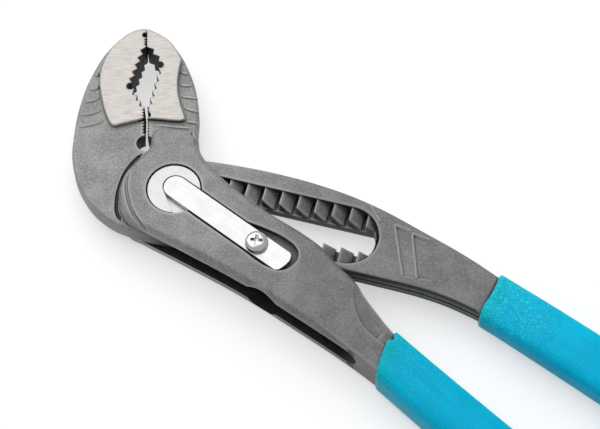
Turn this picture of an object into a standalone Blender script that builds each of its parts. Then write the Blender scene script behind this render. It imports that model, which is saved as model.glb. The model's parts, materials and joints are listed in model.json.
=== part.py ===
"""Water pump pliers with a toothed adjusting slot, a press-to-release pivot bolt and dipped grips.

Lengths are in millimetres and become metres through MM. The model lies on its back with the front
face up. Inside the model X runs along the adjusting slot towards the handles, and the pivot axis is
at X = Y = 0. The world origin is on the flat back of the rear cheek, REST_X and REST_Y from the pivot.
"""
from math import atan2, cos, degrees, hypot, pi, radians, sin, sqrt, tan

import bmesh
import bpy
from mathutils import Matrix, Vector

MM = 0.001

# Clearances
RUN_GAP = 0.3           # between pieces that move on each other
SEAT_GAP = 0.2          # between pieces that are fastened together
JAW_GAP = 0.9           # between the closed jaws
TIP_GAP = 0.3           # between the closed jaws at their tip
BORE_GAP = 0.45         # around the bolt's disc
GROOVE_GAP = 0.8        # below the leaf spring's lower edge
OVERSHOOT = 2.0         # how far a cutter runs past the face that it cuts
SKIM = 0.04             # keeps one cutter's face off another's

# Where the world origin sits, measured from the pivot
REST_X = 24.0
REST_Y = -12.0

# Box lever: rear cheek, slit and front cheek, from the back upwards
REAR_CHEEK = 4.0
SLIT = 7.6
FRONT_CHEEK = 4.0
CHEEK_ROUND = 2.2       # rounding of the cheeks' outer edges
BOSS_RADIUS = 16.3
RELIEF_BITE = 2.7       # how far the round relief eats into each cheek
RELIEF_DEPTH = 6.0
SLIT_END = (67.4, -39.9)
SLIT_END_LEAN = 14.6    # degrees that the slit's end wall leans from the Y axis

# Slotted lever
PLATE_ROUND = 1.1       # rounding of the plate's outer edges
PAD_RISE = 1.4          # ground jaw pads above the forging
PAD_ROUND = 0.4
CHANNEL_DEPTH = 0.9     # lengthwise channel in the lower side
CHANNEL_HEIGHT = 1.7
PANEL_DEPTH = 0.45      # forged panels in the front, deepest along one side
PANEL_TILT = 6.0        # degrees that a panel's floor rises from there

# Ratchet between the bolt and the slot
TOOTH_PITCH = 5.5
LUG_LENGTH = 4.1        # sloping top of a lug; the rest of a pitch is a notch
RAMP_DEPTH = 4.3        # depth of a notch
RAMP_LIP = 0.5          # depth at the shallow end of a lug's top
RAMP_DROP = 2.9         # depth at its deep end
SCALLOP = 1.0           # how far an upper lug's shallow end stands back from the slot
RACK_START = -1.2       # where one tooth's step stands at rest
RECESS_HALF = 9.8       # half width of the toothed recess
RECESS_END = 54.6       # centre of its far round end
SLOT_HALF = 4.3         # half width of the slot that goes right through
SLOT_END_WALL = 1.0     # left between the through slot and the recess's far end
LUGS = 12

# Bolt and bush
BOLT_RADIUS = 8.1
BOLT_SINK = 0.5         # disc below the front face
STEM_RADIUS = 4.6
STEM_FLAT = 2.8         # half width across the stem's flats
STEM_INSET = 0.5        # stem's end above the back face
FLANGE_WALL = 3.1       # flange beyond the stem's hole
JOURNAL_WALL = 1.3
FLANGE_THICK = 1.1
THUMB_RADIUS = 10.5     # round recess for a fingertip at the back
THUMB_DEPTH = 1.0
OPENING_ANGLE = 30.0    # degrees that the levers open
FAN_MARGIN = 1.0        # degrees of play at the ends of the fan

# Leaf spring and its screw
LEAF_ANGLE = -23.2
LEAF_WIDTH = 7.5
LEAF_SIDE = 0.9         # leaf's middle line beside the pivot, towards the jaws
LEAF_THICK = 1.6
LEAF_TOP_SINK = 0.45    # leaf's top below the front face
LEAF_TAIL = 43.0        # from the pivot to the tail's end
SCREW_AT = 31.5         # from the pivot to the screw
SCREW_HEAD_RADIUS = 3.5
SCREW_HEAD_HEIGHT = 2.3
SCREW_RADIUS = 1.9
DRIVE_LENGTH = 4.2      # cross recess, tip to tip
DRIVE_WIDTH = 1.0
DRIVE_DEPTH = 1.3

# Jaws: the closing line starts at SEAM_FOOT and runs towards the tip at SEAM_ANGLE
SEAM_FOOT = (-13.7, 15.0)
SEAM_ANGLE = 106.1
SEAM_LENGTH = 46.0
CROTCH_RADIUS = 2.8
CROTCH_AT = (-13.9, 15.1)
FINE_TOOTH = 1.05
FINE_DEPTH = 0.75
COARSE_DEPTH = 1.25

# Handles and grips
GRIP_WALL = 1.6
GRIP_LIP = 0.9          # grip's wall at its mouth
GRIP_SWELL = 34.0       # the steel reaches its full size this far into the grip
GRIP_DOME = 7.0         # rounded end of a grip
GRIP_SIDES = 20
CORE_SIDES = 12
CORE_ROOT = 5.0         # how far the steel in a grip reaches back into its lever
LOWER_MOUTH_THICK = 12.2
TAPER_LENGTH = 26.0     # the box lever gets thinner over this length before its grip
HOLLOW_START = 15.0     # height of the hollow's floor at its start
HOLLOW_TILT = 9.5       # degrees that its floor sinks towards the grip
HOLLOW_ROUND = 1.1

# Heights worked out from the sizes above
BOX_THICK = REAR_CHEEK + SLIT + FRONT_CHEEK
PLATE_BACK = REAR_CHEEK + RUN_GAP
PLATE_FRONT = REAR_CHEEK + SLIT - RUN_GAP
PLATE_THICK = PLATE_FRONT - PLATE_BACK
MIDDLE = REAR_CHEEK + SLIT / 2
LEAF_TOP = BOX_THICK - LEAF_TOP_SINK
LEAF_BOTTOM = LEAF_TOP - LEAF_THICK
GROOVE_FLOOR = LEAF_BOTTOM - SEAT_GAP
SLOT_END = RECESS_END + RECESS_HALF
RAMP_SLOPE = (RAMP_DROP - RAMP_LIP) / LUG_LENGTH
TOOTH_GAP = RUN_GAP * (1 + RAMP_SLOPE)
STEM_HOLE = STEM_RADIUS + RUN_GAP
JOURNAL_RADIUS = STEM_HOLE + JOURNAL_WALL
FLANGE_RADIUS = STEM_HOLE + FLANGE_WALL
FLANGE_HIGH = REAR_CHEEK - SEAT_GAP / 2
FLANGE_LOW = FLANGE_HIGH - FLANGE_THICK
BUSH_TOP = PLATE_FRONT - RAMP_DEPTH
BUSH_HALF_LENGTH = STEM_HOLE + 2.0

STEEL = (0.235, 0.237, 0.230)
BRIGHT = (0.80, 0.80, 0.80)
HARDENED = (0.30, 0.30, 0.30)
BLUE = (0.004, 0.400, 0.580)


def clear_scene():
    for obj in list(bpy.data.objects):
        bpy.data.objects.remove(obj, do_unlink=True)


def new_collection(name):
    made = bpy.data.collections.new(name)
    bpy.context.scene.collection.children.link(made)
    return made


def finish(name, colour, roughness, metallic):
    made = bpy.data.materials.new(name)
    made.use_nodes = True
    shader = made.node_tree.nodes["Principled BSDF"]
    shader.inputs["Base Color"].default_value = (*colour, 1.0)
    shader.inputs["Roughness"].default_value = roughness
    shader.inputs["Metallic"].default_value = metallic
    return made


def polar(radius, angle_deg, centre=(0.0, 0.0)):
    angle = radians(angle_deg)
    return (centre[0] + radius * cos(angle), centre[1] + radius * sin(angle))


def arc(radius, start_deg, end_deg, steps, centre=(0.0, 0.0)):
    turn = end_deg - start_deg
    return [polar(radius, start_deg + turn * i / steps, centre) for i in range(steps + 1)]


def along(start, angle_deg, forward, left=0.0):
    """Point at a distance forward of start, and to the left of that direction."""
    x, y = polar(forward, angle_deg, start)
    return polar(left, angle_deg + 90.0, (x, y))


def seam(s, t):
    """Point s along the closing line from its foot, and t to the right of it."""
    return along(SEAM_FOOT, SEAM_ANGLE, s, -t)


def closed_mesh(obj):
    """Makes a curve object's evaluated shape a welded mesh, and removes the curve."""
    graph = bpy.context.evaluated_depsgraph_get()
    mesh = bpy.data.meshes.new_from_object(obj.evaluated_get(graph))
    bpy.data.objects.remove(obj, do_unlink=True)
    weld(mesh)
    return mesh


def weld(mesh):
    work = bmesh.new()
    work.from_mesh(mesh)
    bmesh.ops.remove_doubles(work, verts=work.verts, dist=0.002 * MM)
    bmesh.ops.recalc_face_normals(work, faces=work.faces)
    work.to_mesh(mesh)
    work.free()


def slab_mesh(name, outline, low, high, rounding=0.0, steps=0):
    """Flat piece from low to high. With steps the outline is a smooth curve through its points, where
    a point with a third entry is a sharp corner; without, it is straight from point to point."""
    curve = bpy.data.curves.new(name, "CURVE")
    curve.dimensions = "2D"
    curve.fill_mode = "BOTH"
    curve.extrude = ((high - low) / 2 - rounding) * MM
    curve.bevel_depth = rounding * MM
    curve.bevel_resolution = 3 if rounding > 1.0 else 1
    curve.offset = -rounding * MM
    if steps:
        curve.resolution_u = steps
        spline = curve.splines.new("BEZIER")
        spline.bezier_points.add(len(outline) - 1)
        for knot, place in zip(spline.bezier_points, outline):
            knot.co = (place[0] * MM, place[1] * MM, 0.0)
            kind = "VECTOR" if len(place) > 2 else "AUTO"
            knot.handle_left_type = kind
            knot.handle_right_type = kind
    else:
        spline = curve.splines.new("POLY")
        spline.points.add(len(outline) - 1)
        for knot, place in zip(spline.points, outline):
            knot.co = (place[0] * MM, place[1] * MM, 0.0, 1.0)
    spline.use_cyclic_u = True
    obj = bpy.data.objects.new(name, curve)
    bpy.context.scene.collection.objects.link(obj)
    bpy.context.view_layer.update()
    mesh = closed_mesh(obj)
    mesh.transform(Matrix.Translation((0.0, 0.0, (low + high) / 2 * MM)))
    mesh.name = name
    return mesh


def upright_mesh(name, outline, half_width, angle_deg=0.0, start=(0.0, 0.0)):
    """Slab whose outline is given in (distance along a direction, height), half_width to each side."""
    mesh = slab_mesh(name, outline, -half_width, half_width)
    mesh.transform(Matrix.Rotation(pi / 2, 4, "X"))
    mesh.transform(Matrix.Rotation(radians(angle_deg), 4, "Z"))
    mesh.transform(Matrix.Translation((start[0] * MM, start[1] * MM, 0.0)))
    return mesh


def drum_mesh(name, radius, low, high, centre=(0.0, 0.0), sides=48):
    """Round bar along Z."""
    work = bmesh.new()
    bmesh.ops.create_cone(work, cap_ends=True, segments=sides, radius1=radius * MM, radius2=radius * MM,
                          depth=(high - low) * MM)
    mesh = bpy.data.meshes.new(name)
    work.to_mesh(mesh)
    work.free()
    mesh.transform(Matrix.Translation((centre[0] * MM, centre[1] * MM, (low + high) / 2 * MM)))
    return mesh


def oval(width, thick, sides):
    """Section of a handle: an oval with flattened sides, as (across, up) points."""
    power = 0.55
    points = []
    for i in range(sides):
        angle = 2 * pi * (i + 0.5) / sides
        across = abs(cos(angle)) ** power * (1 if cos(angle) > 0 else -1)
        up = abs(sin(angle)) ** power * (1 if sin(angle) > 0 else -1)
        points.append((across * width / 2, up * thick / 2))
    return points


def loft_mesh(name, stations, place, sides):
    """Skin over unlike sections. A station is (distance, width, thickness, slant)."""
    work = bmesh.new()
    rings = []
    for distance, width, thick, slant in stations:
        ring = []
        for across, up in oval(width, thick, sides):
            x, y = place(distance + slant * across, across)
            ring.append(work.verts.new((x * MM, y * MM, (MIDDLE + up) * MM)))
        rings.append(ring)
    for one, two in zip(rings, rings[1:]):
        for i in range(sides):
            j = (i + 1) % sides
            work.faces.new((one[i], one[j], two[j], two[i]))
    work.faces.new(rings[0])
    work.faces.new(rings[-1])
    bmesh.ops.recalc_face_normals(work, faces=work.faces)
    mesh = bpy.data.meshes.new(name)
    work.to_mesh(mesh)
    work.free()
    return mesh


class Model:
    """The collections, the frame that carries the pieces, and how pieces are made and cut."""

    def __init__(self):
        self.parts = new_collection("water_pump_pliers")
        self.tools = new_collection("cutters")
        self.frame = bpy.data.objects.new("pivot_axis", None)
        self.frame.location = (-REST_X * MM, -REST_Y * MM, 0.0)
        self.parts.objects.link(self.frame)

    def piece(self, name, mesh, material):
        obj = bpy.data.objects.new(name, mesh)
        obj.data.materials.clear()
        obj.data.materials.append(material)
        obj.parent = self.frame
        self.parts.objects.link(obj)
        return obj

    def tool(self, mesh):
        obj = bpy.data.objects.new("cut_" + mesh.name, mesh)
        obj.parent = self.frame
        obj.hide_render = True
        obj.display_type = "WIRE"
        self.tools.objects.link(obj)
        return obj

    def combine(self, obj, mesh, operation="DIFFERENCE"):
        tool = mesh if isinstance(mesh, bpy.types.Object) else self.tool(mesh)
        step = obj.modifiers.new(tool.name, "BOOLEAN")
        step.operation = operation
        step.object = tool
        return tool


def shade(obj, angle_deg=40.0):
    obj.data.shade_smooth()
    obj.data.set_sharp_from_angle(angle=radians(angle_deg))


# Jaw outlines

def flank(start, end, teeth, depth):
    """Saw teeth along a straight flank between two (s, t) points, cut to the right of its direction."""
    points = []
    length = hypot(end[0] - start[0], end[1] - start[1])
    side = ((end[1] - start[1]) / length, -(end[0] - start[0]) / length)
    for i in range(teeth):
        tip = i / teeth
        root = (i + 0.42) / teeth
        points.append(tuple(a + (b - a) * tip for a, b in zip(start, end)))
        points.append(tuple(a + (b - a) * root + n * depth for a, b, n in zip(start, end, side)))
    points.append(end)
    return points


def jaw_edge(side, flanks):
    """Toothed edge of one jaw, from the crotch to past the tip, as plan points."""
    edge = [(-1.0, side * JAW_GAP / 2)]
    for start, end, teeth, depth in flanks:
        edge += flank(start, end, teeth, -side * depth)
    edge.append((SEAM_LENGTH, side * TIP_GAP / 2))
    return [seam(s, t) for s, t in edge]


def fine_teeth(side, start, end, gap=JAW_GAP):
    line = side * gap / 2
    return ((start, line), (end, line), round((end - start) / FINE_TOOTH), FINE_DEPTH)


def left_jaw_cutter():
    """Everything to the right of the left jaw's gripping edge."""
    edge = jaw_edge(-1, [
        fine_teeth(-1, 3.6, 12.0),
        ((12.6, -JAW_GAP / 2), (18.9, -3.9), 3, COARSE_DEPTH),
        ((21.4, -4.5), (34.6, -0.3), 5, COARSE_DEPTH),
        fine_teeth(-1, 35.2, 38.0, TIP_GAP),
    ])
    beyond = 18.0
    return slab_mesh("left_jaw_edge", edge + [seam(SEAM_LENGTH, beyond), seam(-1.0, beyond)],
                     -OVERSHOOT, BOX_THICK + OVERSHOOT)


def right_jaw_cutter():
    """Everything to the left of the right jaw's gripping edge."""
    edge = jaw_edge(1, [
        fine_teeth(1, 1.8, 8.0),
        fine_teeth(1, 10.6, 12.4),
        ((12.8, JAW_GAP / 2), (26.6, 3.9), 5, COARSE_DEPTH),
        ((29.2, 3.9), (34.6, 0.3), 2, COARSE_DEPTH),
        ((35.0, TIP_GAP / 2), (35.4, TIP_GAP / 2), 1, 0.0),
    ])
    beyond = -18.0
    return slab_mesh("right_jaw_edge", edge + [seam(SEAM_LENGTH, beyond), seam(-1.0, beyond)],
                     -OVERSHOOT, BOX_THICK + OVERSHOOT)


def jaw_hole(name, s, t, radius):
    return drum_mesh(name, radius, -OVERSHOOT, BOX_THICK + OVERSHOOT, seam(s, t), sides=16)


def crotch_mesh(name, low, high):
    return drum_mesh(name, CROTCH_RADIUS, low, high, CROTCH_AT, 24)


# Handles

class Handle:
    """A gripped handle: where its grip begins, which way it runs, and its sections."""

    def __init__(self, start, angle, length, bow, slant, width, thick, mouth, mouth_thick):
        self.start = start
        self.angle = angle              # degrees
        self.length = length
        self.bow = bow                  # sideways drift at the far end
        self.slant = slant              # lean of the grip's mouth
        self.width = width
        self.thick = thick
        self.mouth = mouth              # width of the steel where the grip begins
        self.mouth_thick = mouth_thick

    def place(self, distance, across):
        drift = self.bow * (max(distance, 0.0) / self.length) ** 2
        return along(self.start, self.angle, distance, across + drift)

    def corners(self):
        """The two corners of the forging just short of the grip."""
        half = self.mouth / 2
        return [self.place(side * half * self.slant - RUN_GAP, side * half) + (1,) for side in (-1, 1)]

    def core(self, extra):
        """Sections of the steel inside the grip, grown by extra all round."""
        grow = 2 * (extra - RUN_GAP)
        mouth = (self.mouth + grow, self.mouth_thick + grow, 0.0)
        full = (self.width - 2 * GRIP_WALL + grow, self.thick - 2 * GRIP_WALL + grow, 0.0)
        end = self.length - GRIP_DOME + extra
        return [(-CORE_ROOT, *mouth), (2.0, *mouth), (GRIP_SWELL, *full), (end, *full)]

    def skin(self):
        """Sections of the grip's outside, with a soft lip at the mouth and a domed end."""
        wide = self.mouth + 2 * GRIP_WALL
        deep = max(self.mouth_thick + 2 * GRIP_WALL, self.thick - GRIP_WALL / 2)
        soft = 2 * (GRIP_WALL - GRIP_LIP)
        rows = [
            (0.0, wide - soft, deep - soft, self.slant),
            (1.2, wide, deep, self.slant),
            (GRIP_SWELL / 2, (wide + self.width) / 2, (deep + self.thick) / 2, self.slant / 3),
            (GRIP_SWELL, self.width, self.thick, 0.0),
            ((GRIP_SWELL + self.length - GRIP_DOME) / 2, self.width, self.thick, 0.0),
        ]
        for i in range(5):
            keep, out = polar(1.0, 82.0 * i / 4)
            distance = self.length - GRIP_DOME * (1 - out)
            rows.append((distance, self.width * keep, self.thick * keep, 0.0))
        return rows


UPPER = Handle(start=(101.5, -9.1), angle=-20.2, length=107.5, bow=-5.0, slant=-0.12, width=16.6, thick=12.0,
               mouth=13.2, mouth_thick=PLATE_THICK)
LOWER = Handle(start=(75.3, -35.8), angle=-29.6, length=111.2, bow=5.0, slant=-0.36, width=15.9, thick=15.0,
               mouth=12.2, mouth_thick=LOWER_MOUTH_THICK)


# Slotted lever

def recess_tool(model):
    """Toothed recess: lugs that slope down towards the handle, with notches between them."""
    top = PLATE_FRONT + OVERSHOOT
    first = -4
    count = int((SLOT_END - RACK_START) / TOOTH_PITCH) + 2 - first
    teeth = [(RACK_START + first * TOOTH_PITCH, top)]
    for i in range(count):
        x = RACK_START + (first + i) * TOOTH_PITCH
        teeth.append((x, PLATE_FRONT - RAMP_LIP))
        teeth.append((x + LUG_LENGTH, PLATE_FRONT - RAMP_DROP))
        teeth.append((x + LUG_LENGTH, PLATE_FRONT - RAMP_DEPTH))
        teeth.append((x + TOOTH_PITCH, PLATE_FRONT - RAMP_DEPTH))
    teeth.append((teeth[-1][0], top))
    ramps = model.tool(upright_mesh("ramps", teeth, RECESS_HALF + OVERSHOOT))
    near = -RECESS_HALF + BOLT_RADIUS + 2 * RUN_GAP
    bounds = arc(RECESS_HALF, 90.0, 270.0, 14, (-near, 0.0))
    bounds += arc(RECESS_HALF, -90.0, 90.0, 18, (RECESS_END, 0.0))
    model.combine(ramps, slab_mesh("recess", bounds, PLATE_BACK - OVERSHOOT, top + OVERSHOOT), "INTERSECT")
    return ramps


def through_slot_mesh():
    reach = RECESS_HALF - SLOT_END_WALL
    bend = degrees(atan2(SLOT_HALF, sqrt(reach ** 2 - SLOT_HALF ** 2)))
    near = BUSH_HALF_LENGTH - SLOT_HALF + 2 * RUN_GAP
    outline = arc(SLOT_HALF, 90.0, 270.0, 10, (-near, 0.0)) + arc(reach, -bend, bend, 8, (RECESS_END, 0.0))
    return slab_mesh("through_slot", outline, PLATE_BACK - OVERSHOOT, PLATE_FRONT + OVERSHOOT)


def scallop_mesh():
    """Sets the shallow end of every upper lug back from the slot."""
    inside = SLOT_HALF - RUN_GAP
    outline = []
    for i in range(LUGS):
        x = RACK_START + (i - 1) * TOOTH_PITCH
        outline += [(x - SKIM, inside), (x - SKIM, SLOT_HALF + SCALLOP), (x + LUG_LENGTH, inside)]
    outline += [(outline[-1][0], 0.0), (outline[0][0], 0.0)]
    return slab_mesh("scallops", outline, BUSH_TOP - SKIM, PLATE_FRONT + OVERSHOOT)


def channel_mesh():
    """Lengthwise channel in the lower side."""
    edge = [(14.0, -13.4), (20.0, -13.0), (46.0, -12.2), (66.0, -11.9), (86.0, -12.7), (99.2, -15.3)]
    outline = [(x, y + CHANNEL_DEPTH) for x, y in edge] + [(99.2, -22.0, 1), (14.0, -22.0, 1)]
    return slab_mesh("channel", outline, MIDDLE - CHANNEL_HEIGHT / 2, MIDDLE + CHANNEL_HEIGHT / 2, 0.0, 4)


def panel_mesh(name, outline):
    """Shallow forged panel, deepest along the side from its last point to its first."""
    floor = PLATE_FRONT - PANEL_DEPTH
    mesh = slab_mesh(name, outline, floor, PLATE_FRONT + OVERSHOOT)
    first = Vector((*outline[0], floor))
    last = Vector((*outline[-1], floor))
    place = Matrix.Translation(last * MM)
    mesh.transform(place @ Matrix.Rotation(radians(-PANEL_TILT), 4, first - last) @ place.inverted())
    return mesh


def slotted_lever(model, steel):
    outline = [
        (-21.0, 56.6), (-26.2, 55.6), (-30.0, 53.4), (-34.7, 46.3), (-37.6, 34.1), (-37.9, 24.5),
        (-36.6, 13.3), (-33.6, 2.4), (-27.4, -6.7), (-18.8, -12.7), (-9.0, -14.9), (20.0, -13.0),
        (46.0, -12.2), (66.0, -11.9), (86.0, -12.7),
        *UPPER.corners(), (92.6, 1.8), (76.8, 7.1),
        (59.6, 12.2), (44.8, 14.6), (29.0, 15.4), (14.1, 14.9), (0.0, 13.6), (-10.6, 12.6, 1),
        (-9.0, 17.0, 1),
    ]
    lever = model.piece("slotted_lever", slab_mesh("slotted_lever", outline, PLATE_BACK, PLATE_FRONT,
                                                   PLATE_ROUND, 5), steel)
    pad = [
        (-13.9, 24.2, 1), (-18.2, 21.9), (-22.6, 19.4), (-25.1, 18.1), (-26.3, 18.6), (-28.1, 20.7),
        (-31.5, 26.4), (-34.5, 33.9), (-35.0, 39.5), (-34.1, 45.7, 1), (-29.6, 52.7), (-25.9, 54.9),
        (-20.9, 55.7, 1),
    ]
    model.combine(lever, slab_mesh("left_pad", pad, PLATE_BACK - PAD_RISE, PLATE_FRONT + PAD_RISE,
                                   PAD_ROUND, 4), "UNION")
    model.combine(lever, loft_mesh("upper_core", UPPER.core(0.0), UPPER.place, CORE_SIDES), "UNION")
    model.combine(lever, left_jaw_cutter())
    model.combine(lever, jaw_hole("left_pipe_hole", 20.2, -5.0, 1.25))
    model.combine(lever, jaw_hole("tip_hole", 39.2, -0.5, 0.95))
    model.combine(lever, crotch_mesh("left_crotch", -OVERSHOOT, BOX_THICK + OVERSHOOT))
    model.combine(lever, recess_tool(model))
    model.combine(lever, through_slot_mesh())
    model.combine(lever, scallop_mesh())
    model.combine(lever, channel_mesh())
    model.combine(lever, panel_mesh("near_panel", [(68.5, 6.4), (73.4, 5.2), (78.0, -9.2), (74.5, -9.2)]))
    model.combine(lever, panel_mesh("far_panel", [(74.3, 4.9), (79.6, 3.7), (82.6, -8.6), (78.9, -9.2)]))
    return lever


# Box lever

def lay_on_leaf_line(mesh):
    """Moves a mesh drawn along X onto the leaf spring's middle line."""
    mesh.transform(Matrix.Translation((0.0, LEAF_SIDE * MM, 0.0)))
    mesh.transform(Matrix.Rotation(radians(LEAF_ANGLE), 4, "Z"))
    return mesh


def on_leaf_line(distance):
    return along((0.0, 0.0), LEAF_ANGLE, distance, LEAF_SIDE)


def groove_mesh():
    """Seat of the leaf spring, wider above the screw and around the tail."""
    half = LEAF_WIDTH / 2 + SEAT_GAP
    low = LEAF_WIDTH / 2 + GROOVE_GAP
    tail = LEAF_TAIL + 1.8
    outline = [
        (0.0, -low, 1), (SCREW_AT - 4.0, -low, 1), (tail - 3.6, -half), (tail - 1.4, -half + 1.5),
        (tail, 0.9), (tail - 0.4, half), (tail - 2.6, half + 2.0), (tail - 7.0, half + 2.6),
        (SCREW_AT - 1.0, half + 1.5), (SCREW_AT - 6.5, half, 1), (0.0, half, 1),
    ]
    mesh = slab_mesh("groove", outline, GROOVE_FLOOR, BOX_THICK + OVERSHOOT, 0.0, 4)
    return lay_on_leaf_line(mesh)


def slit_mesh():
    """Room for the slotted lever at every opening angle and slot position."""
    bar_top = 15.6 + 2 * RUN_GAP
    rise = OPENING_ANGLE + 1.0
    knee = (-bar_top * tan(radians(rise / 2)), bar_top)
    far = 40.0
    end = along(SLIT_END, SLIT_END_LEAN, -SLIT / 2)
    outline = [
        (-2 * far, bar_top), knee, along(knee, rise, far), along(end, 90.0 + SLIT_END_LEAN, 2 * far),
        along(end, 90.0 + SLIT_END_LEAN, -far), (-2 * far, -2 * far),
    ]
    return slab_mesh("slit", outline, REAR_CHEEK, REAR_CHEEK + SLIT)


def slit_end_mesh():
    """Round end of the slit, a bar across the lever."""
    mesh = drum_mesh("slit_end", SLIT / 2 - SKIM, -40.0, 40.0, sides=28)
    mesh.transform(Matrix.Rotation(pi / 2, 4, "X"))
    mesh.transform(Matrix.Rotation(radians(SLIT_END_LEAN), 4, "Z"))
    x, y = along(SLIT_END, SLIT_END_LEAN, -SLIT / 2)
    mesh.transform(Matrix.Translation((x * MM, y * MM, MIDDLE * MM)))
    return mesh


def relief_mesh():
    """Round relief drilled up into the slit from the lever's lower edge."""
    mesh = drum_mesh("relief", SLIT / 2 + RELIEF_BITE, -RELIEF_DEPTH, RELIEF_DEPTH, sides=28)
    mesh.transform(Matrix.Rotation(pi / 2, 4, "X"))
    mesh.transform(Matrix.Rotation(radians(-20.4), 4, "Z"))
    mesh.transform(Matrix.Translation((34.6 * MM, -26.4 * MM, MIDDLE * MM)))
    return mesh


def taper_mesh(name, front):
    """Wedge that thins the box lever towards its grip, on the front or the back."""
    slope = (BOX_THICK - LOWER_MOUTH_THICK) / 2 / TAPER_LENGTH
    run = TAPER_LENGTH + LOWER.mouth
    outline = [(-1.0, -slope), (run, slope * run), (run, -OVERSHOOT), (-1.0, -OVERSHOOT)]
    if front:
        outline = [(distance, BOX_THICK - height) for distance, height in outline]
    return upright_mesh(name, outline, 2 * LOWER.mouth, LOWER.angle, LOWER.place(-TAPER_LENGTH, 0.0))


def hollow_mesh():
    """S-shaped hollow between the front cheek and the grip."""
    start = (61.0, -20.4)
    outline = [
        (60.2, -17.0, 1), (61.4, -21.6), (64.5, -27.2), (68.2, -30.7), (73.0, -33.2), (84.0, -38.0, 1),
        (95.0, -25.0, 1), (66.0, -8.0, 1),
    ]
    mesh = slab_mesh("hollow", outline, HOLLOW_START, HOLLOW_START + 4 * OVERSHOOT, HOLLOW_ROUND, 4)
    place = Matrix.Translation((start[0] * MM, start[1] * MM, HOLLOW_START * MM))
    across = Vector((*polar(1.0, LOWER.angle + 90.0), 0.0))
    mesh.transform(place @ Matrix.Rotation(radians(HOLLOW_TILT), 4, across) @ place.inverted())
    return mesh


def box_lever(model, steel):
    outline = [
        (0.8, 21.6), (-5.2, 20.8), (-10.9, 19.5), (-12.2, 17.3), (-11.7, 14.6), (-11.8, 11.3), (-14.1, 6.9),
        polar(BOSS_RADIUS, 178.0), polar(BOSS_RADIUS + 0.8, 204.0), polar(BOSS_RADIUS + 1.2, 227.0),
        (-5.6, -14.8), (8.5, -18.5), (29.5, -24.6), (46.0, -30.6), (64.0, -37.6),
        *LOWER.corners(), (70.6, -25.0), (65.4, -20.6),
        (60.8, -15.9), (54.9, -12.2), (49.9, -8.3), (43.8, -5.2), (29.2, 0.2), (12.2, 8.5), (5.4, 13.5),
        (3.0, 16.8), (1.5, 21.0),
    ]
    lever = model.piece("box_lever", slab_mesh("box_lever", outline, 0.0, BOX_THICK, CHEEK_ROUND, 5), steel)
    jaw = [
        (-29.0, 56.4), (-24.0, 55.6), (-20.1, 54.6), (-13.9, 50.7), (-8.4, 44.6), (-2.9, 35.4), (0.4, 24.8),
        (0.6, 21.4, 1), (-3.4, 17.4, 1), (-13.5, 16.9, 1), (-17.6, 17.4, 1),
    ]
    model.combine(lever, slab_mesh("right_jaw", jaw, PLATE_BACK, PLATE_FRONT, PLATE_ROUND, 5), "UNION")
    pad = [
        (-17.9, 22.6, 1), (-13.9, 23.5), (-4.1, 25.7), (-4.3, 26.5), (-6.9, 30.8), (-9.5, 36.5),
        (-10.9, 43.2), (-11.2, 47.0, 1), (-16.8, 52.4), (-23.5, 54.8), (-28.9, 55.7, 1),
    ]
    model.combine(lever, slab_mesh("right_pad", pad, PLATE_BACK - PAD_RISE, PLATE_FRONT + PAD_RISE,
                                   PAD_ROUND, 4), "UNION")
    model.combine(lever, taper_mesh("front_taper", True))
    model.combine(lever, taper_mesh("back_taper", False))
    model.combine(lever, hollow_mesh())
    model.combine(lever, loft_mesh("lower_core", LOWER.core(0.0), LOWER.place, CORE_SIDES), "UNION")
    model.combine(lever, right_jaw_cutter())
    model.combine(lever, jaw_hole("right_pipe_hole", 27.9, 4.3, 1.25))
    model.combine(lever, jaw_hole("wire_hole", 9.6, 0.5, 1.1))
    model.combine(lever, crotch_mesh("right_crotch", REAR_CHEEK + SKIM, REAR_CHEEK + SLIT - SKIM))
    model.combine(lever, slit_mesh())
    model.combine(lever, slit_end_mesh())
    model.combine(lever, relief_mesh())
    model.combine(lever, drum_mesh("bolt_bore", BOLT_RADIUS + BORE_GAP, REAR_CHEEK + SLIT - OVERSHOOT,
                                   BOX_THICK + OVERSHOOT))
    model.combine(lever, groove_mesh())
    model.combine(lever, drum_mesh("screw_hole", SCREW_RADIUS + SEAT_GAP, REAR_CHEEK + SLIT - OVERSHOOT,
                                   BOX_THICK + OVERSHOOT, on_leaf_line(SCREW_AT), 20))
    model.combine(lever, drum_mesh("bush_bore", JOURNAL_RADIUS + RUN_GAP, -OVERSHOOT,
                                   REAR_CHEEK + OVERSHOOT))
    model.combine(lever, drum_mesh("flange_seat", FLANGE_RADIUS + RUN_GAP, FLANGE_LOW - RUN_GAP,
                                   REAR_CHEEK + OVERSHOOT))
    model.combine(lever, drum_mesh("thumb_recess", THUMB_RADIUS, -OVERSHOOT, THUMB_DEPTH))
    return lever


# Bolt, bush, leaf spring and screw

def flatted_mesh(name, radius, flat, low, high):
    """Round bar with two flats, square to Y."""
    bend = degrees(atan2(flat, sqrt(radius ** 2 - flat ** 2)))
    outline = arc(radius, -bend, bend, 8) + arc(radius, 180.0 - bend, 180.0 + bend, 8)
    return slab_mesh(name, outline, low, high)


def slide_bush(model, material):
    low = THUMB_DEPTH + SEAT_GAP
    bush = model.piece("slide_bush", drum_mesh("slide_bush", JOURNAL_RADIUS, low, FLANGE_HIGH), material)
    model.combine(bush, drum_mesh("flange", FLANGE_RADIUS, FLANGE_LOW, FLANGE_HIGH), "UNION")
    half = SLOT_HALF - RUN_GAP
    ends = BUSH_HALF_LENGTH - half
    block = arc(half, 90.0, 270.0, 10, (-ends, 0.0)) + arc(half, -90.0, 90.0, 10, (ends, 0.0))
    model.combine(bush, slab_mesh("block", block, FLANGE_LOW + FLANGE_THICK / 2, BUSH_TOP), "UNION")
    model.combine(bush, flatted_mesh("stem_hole", STEM_HOLE, STEM_FLAT + RUN_GAP, -OVERSHOOT,
                                     BUSH_TOP + OVERSHOOT))
    return bush


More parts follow.
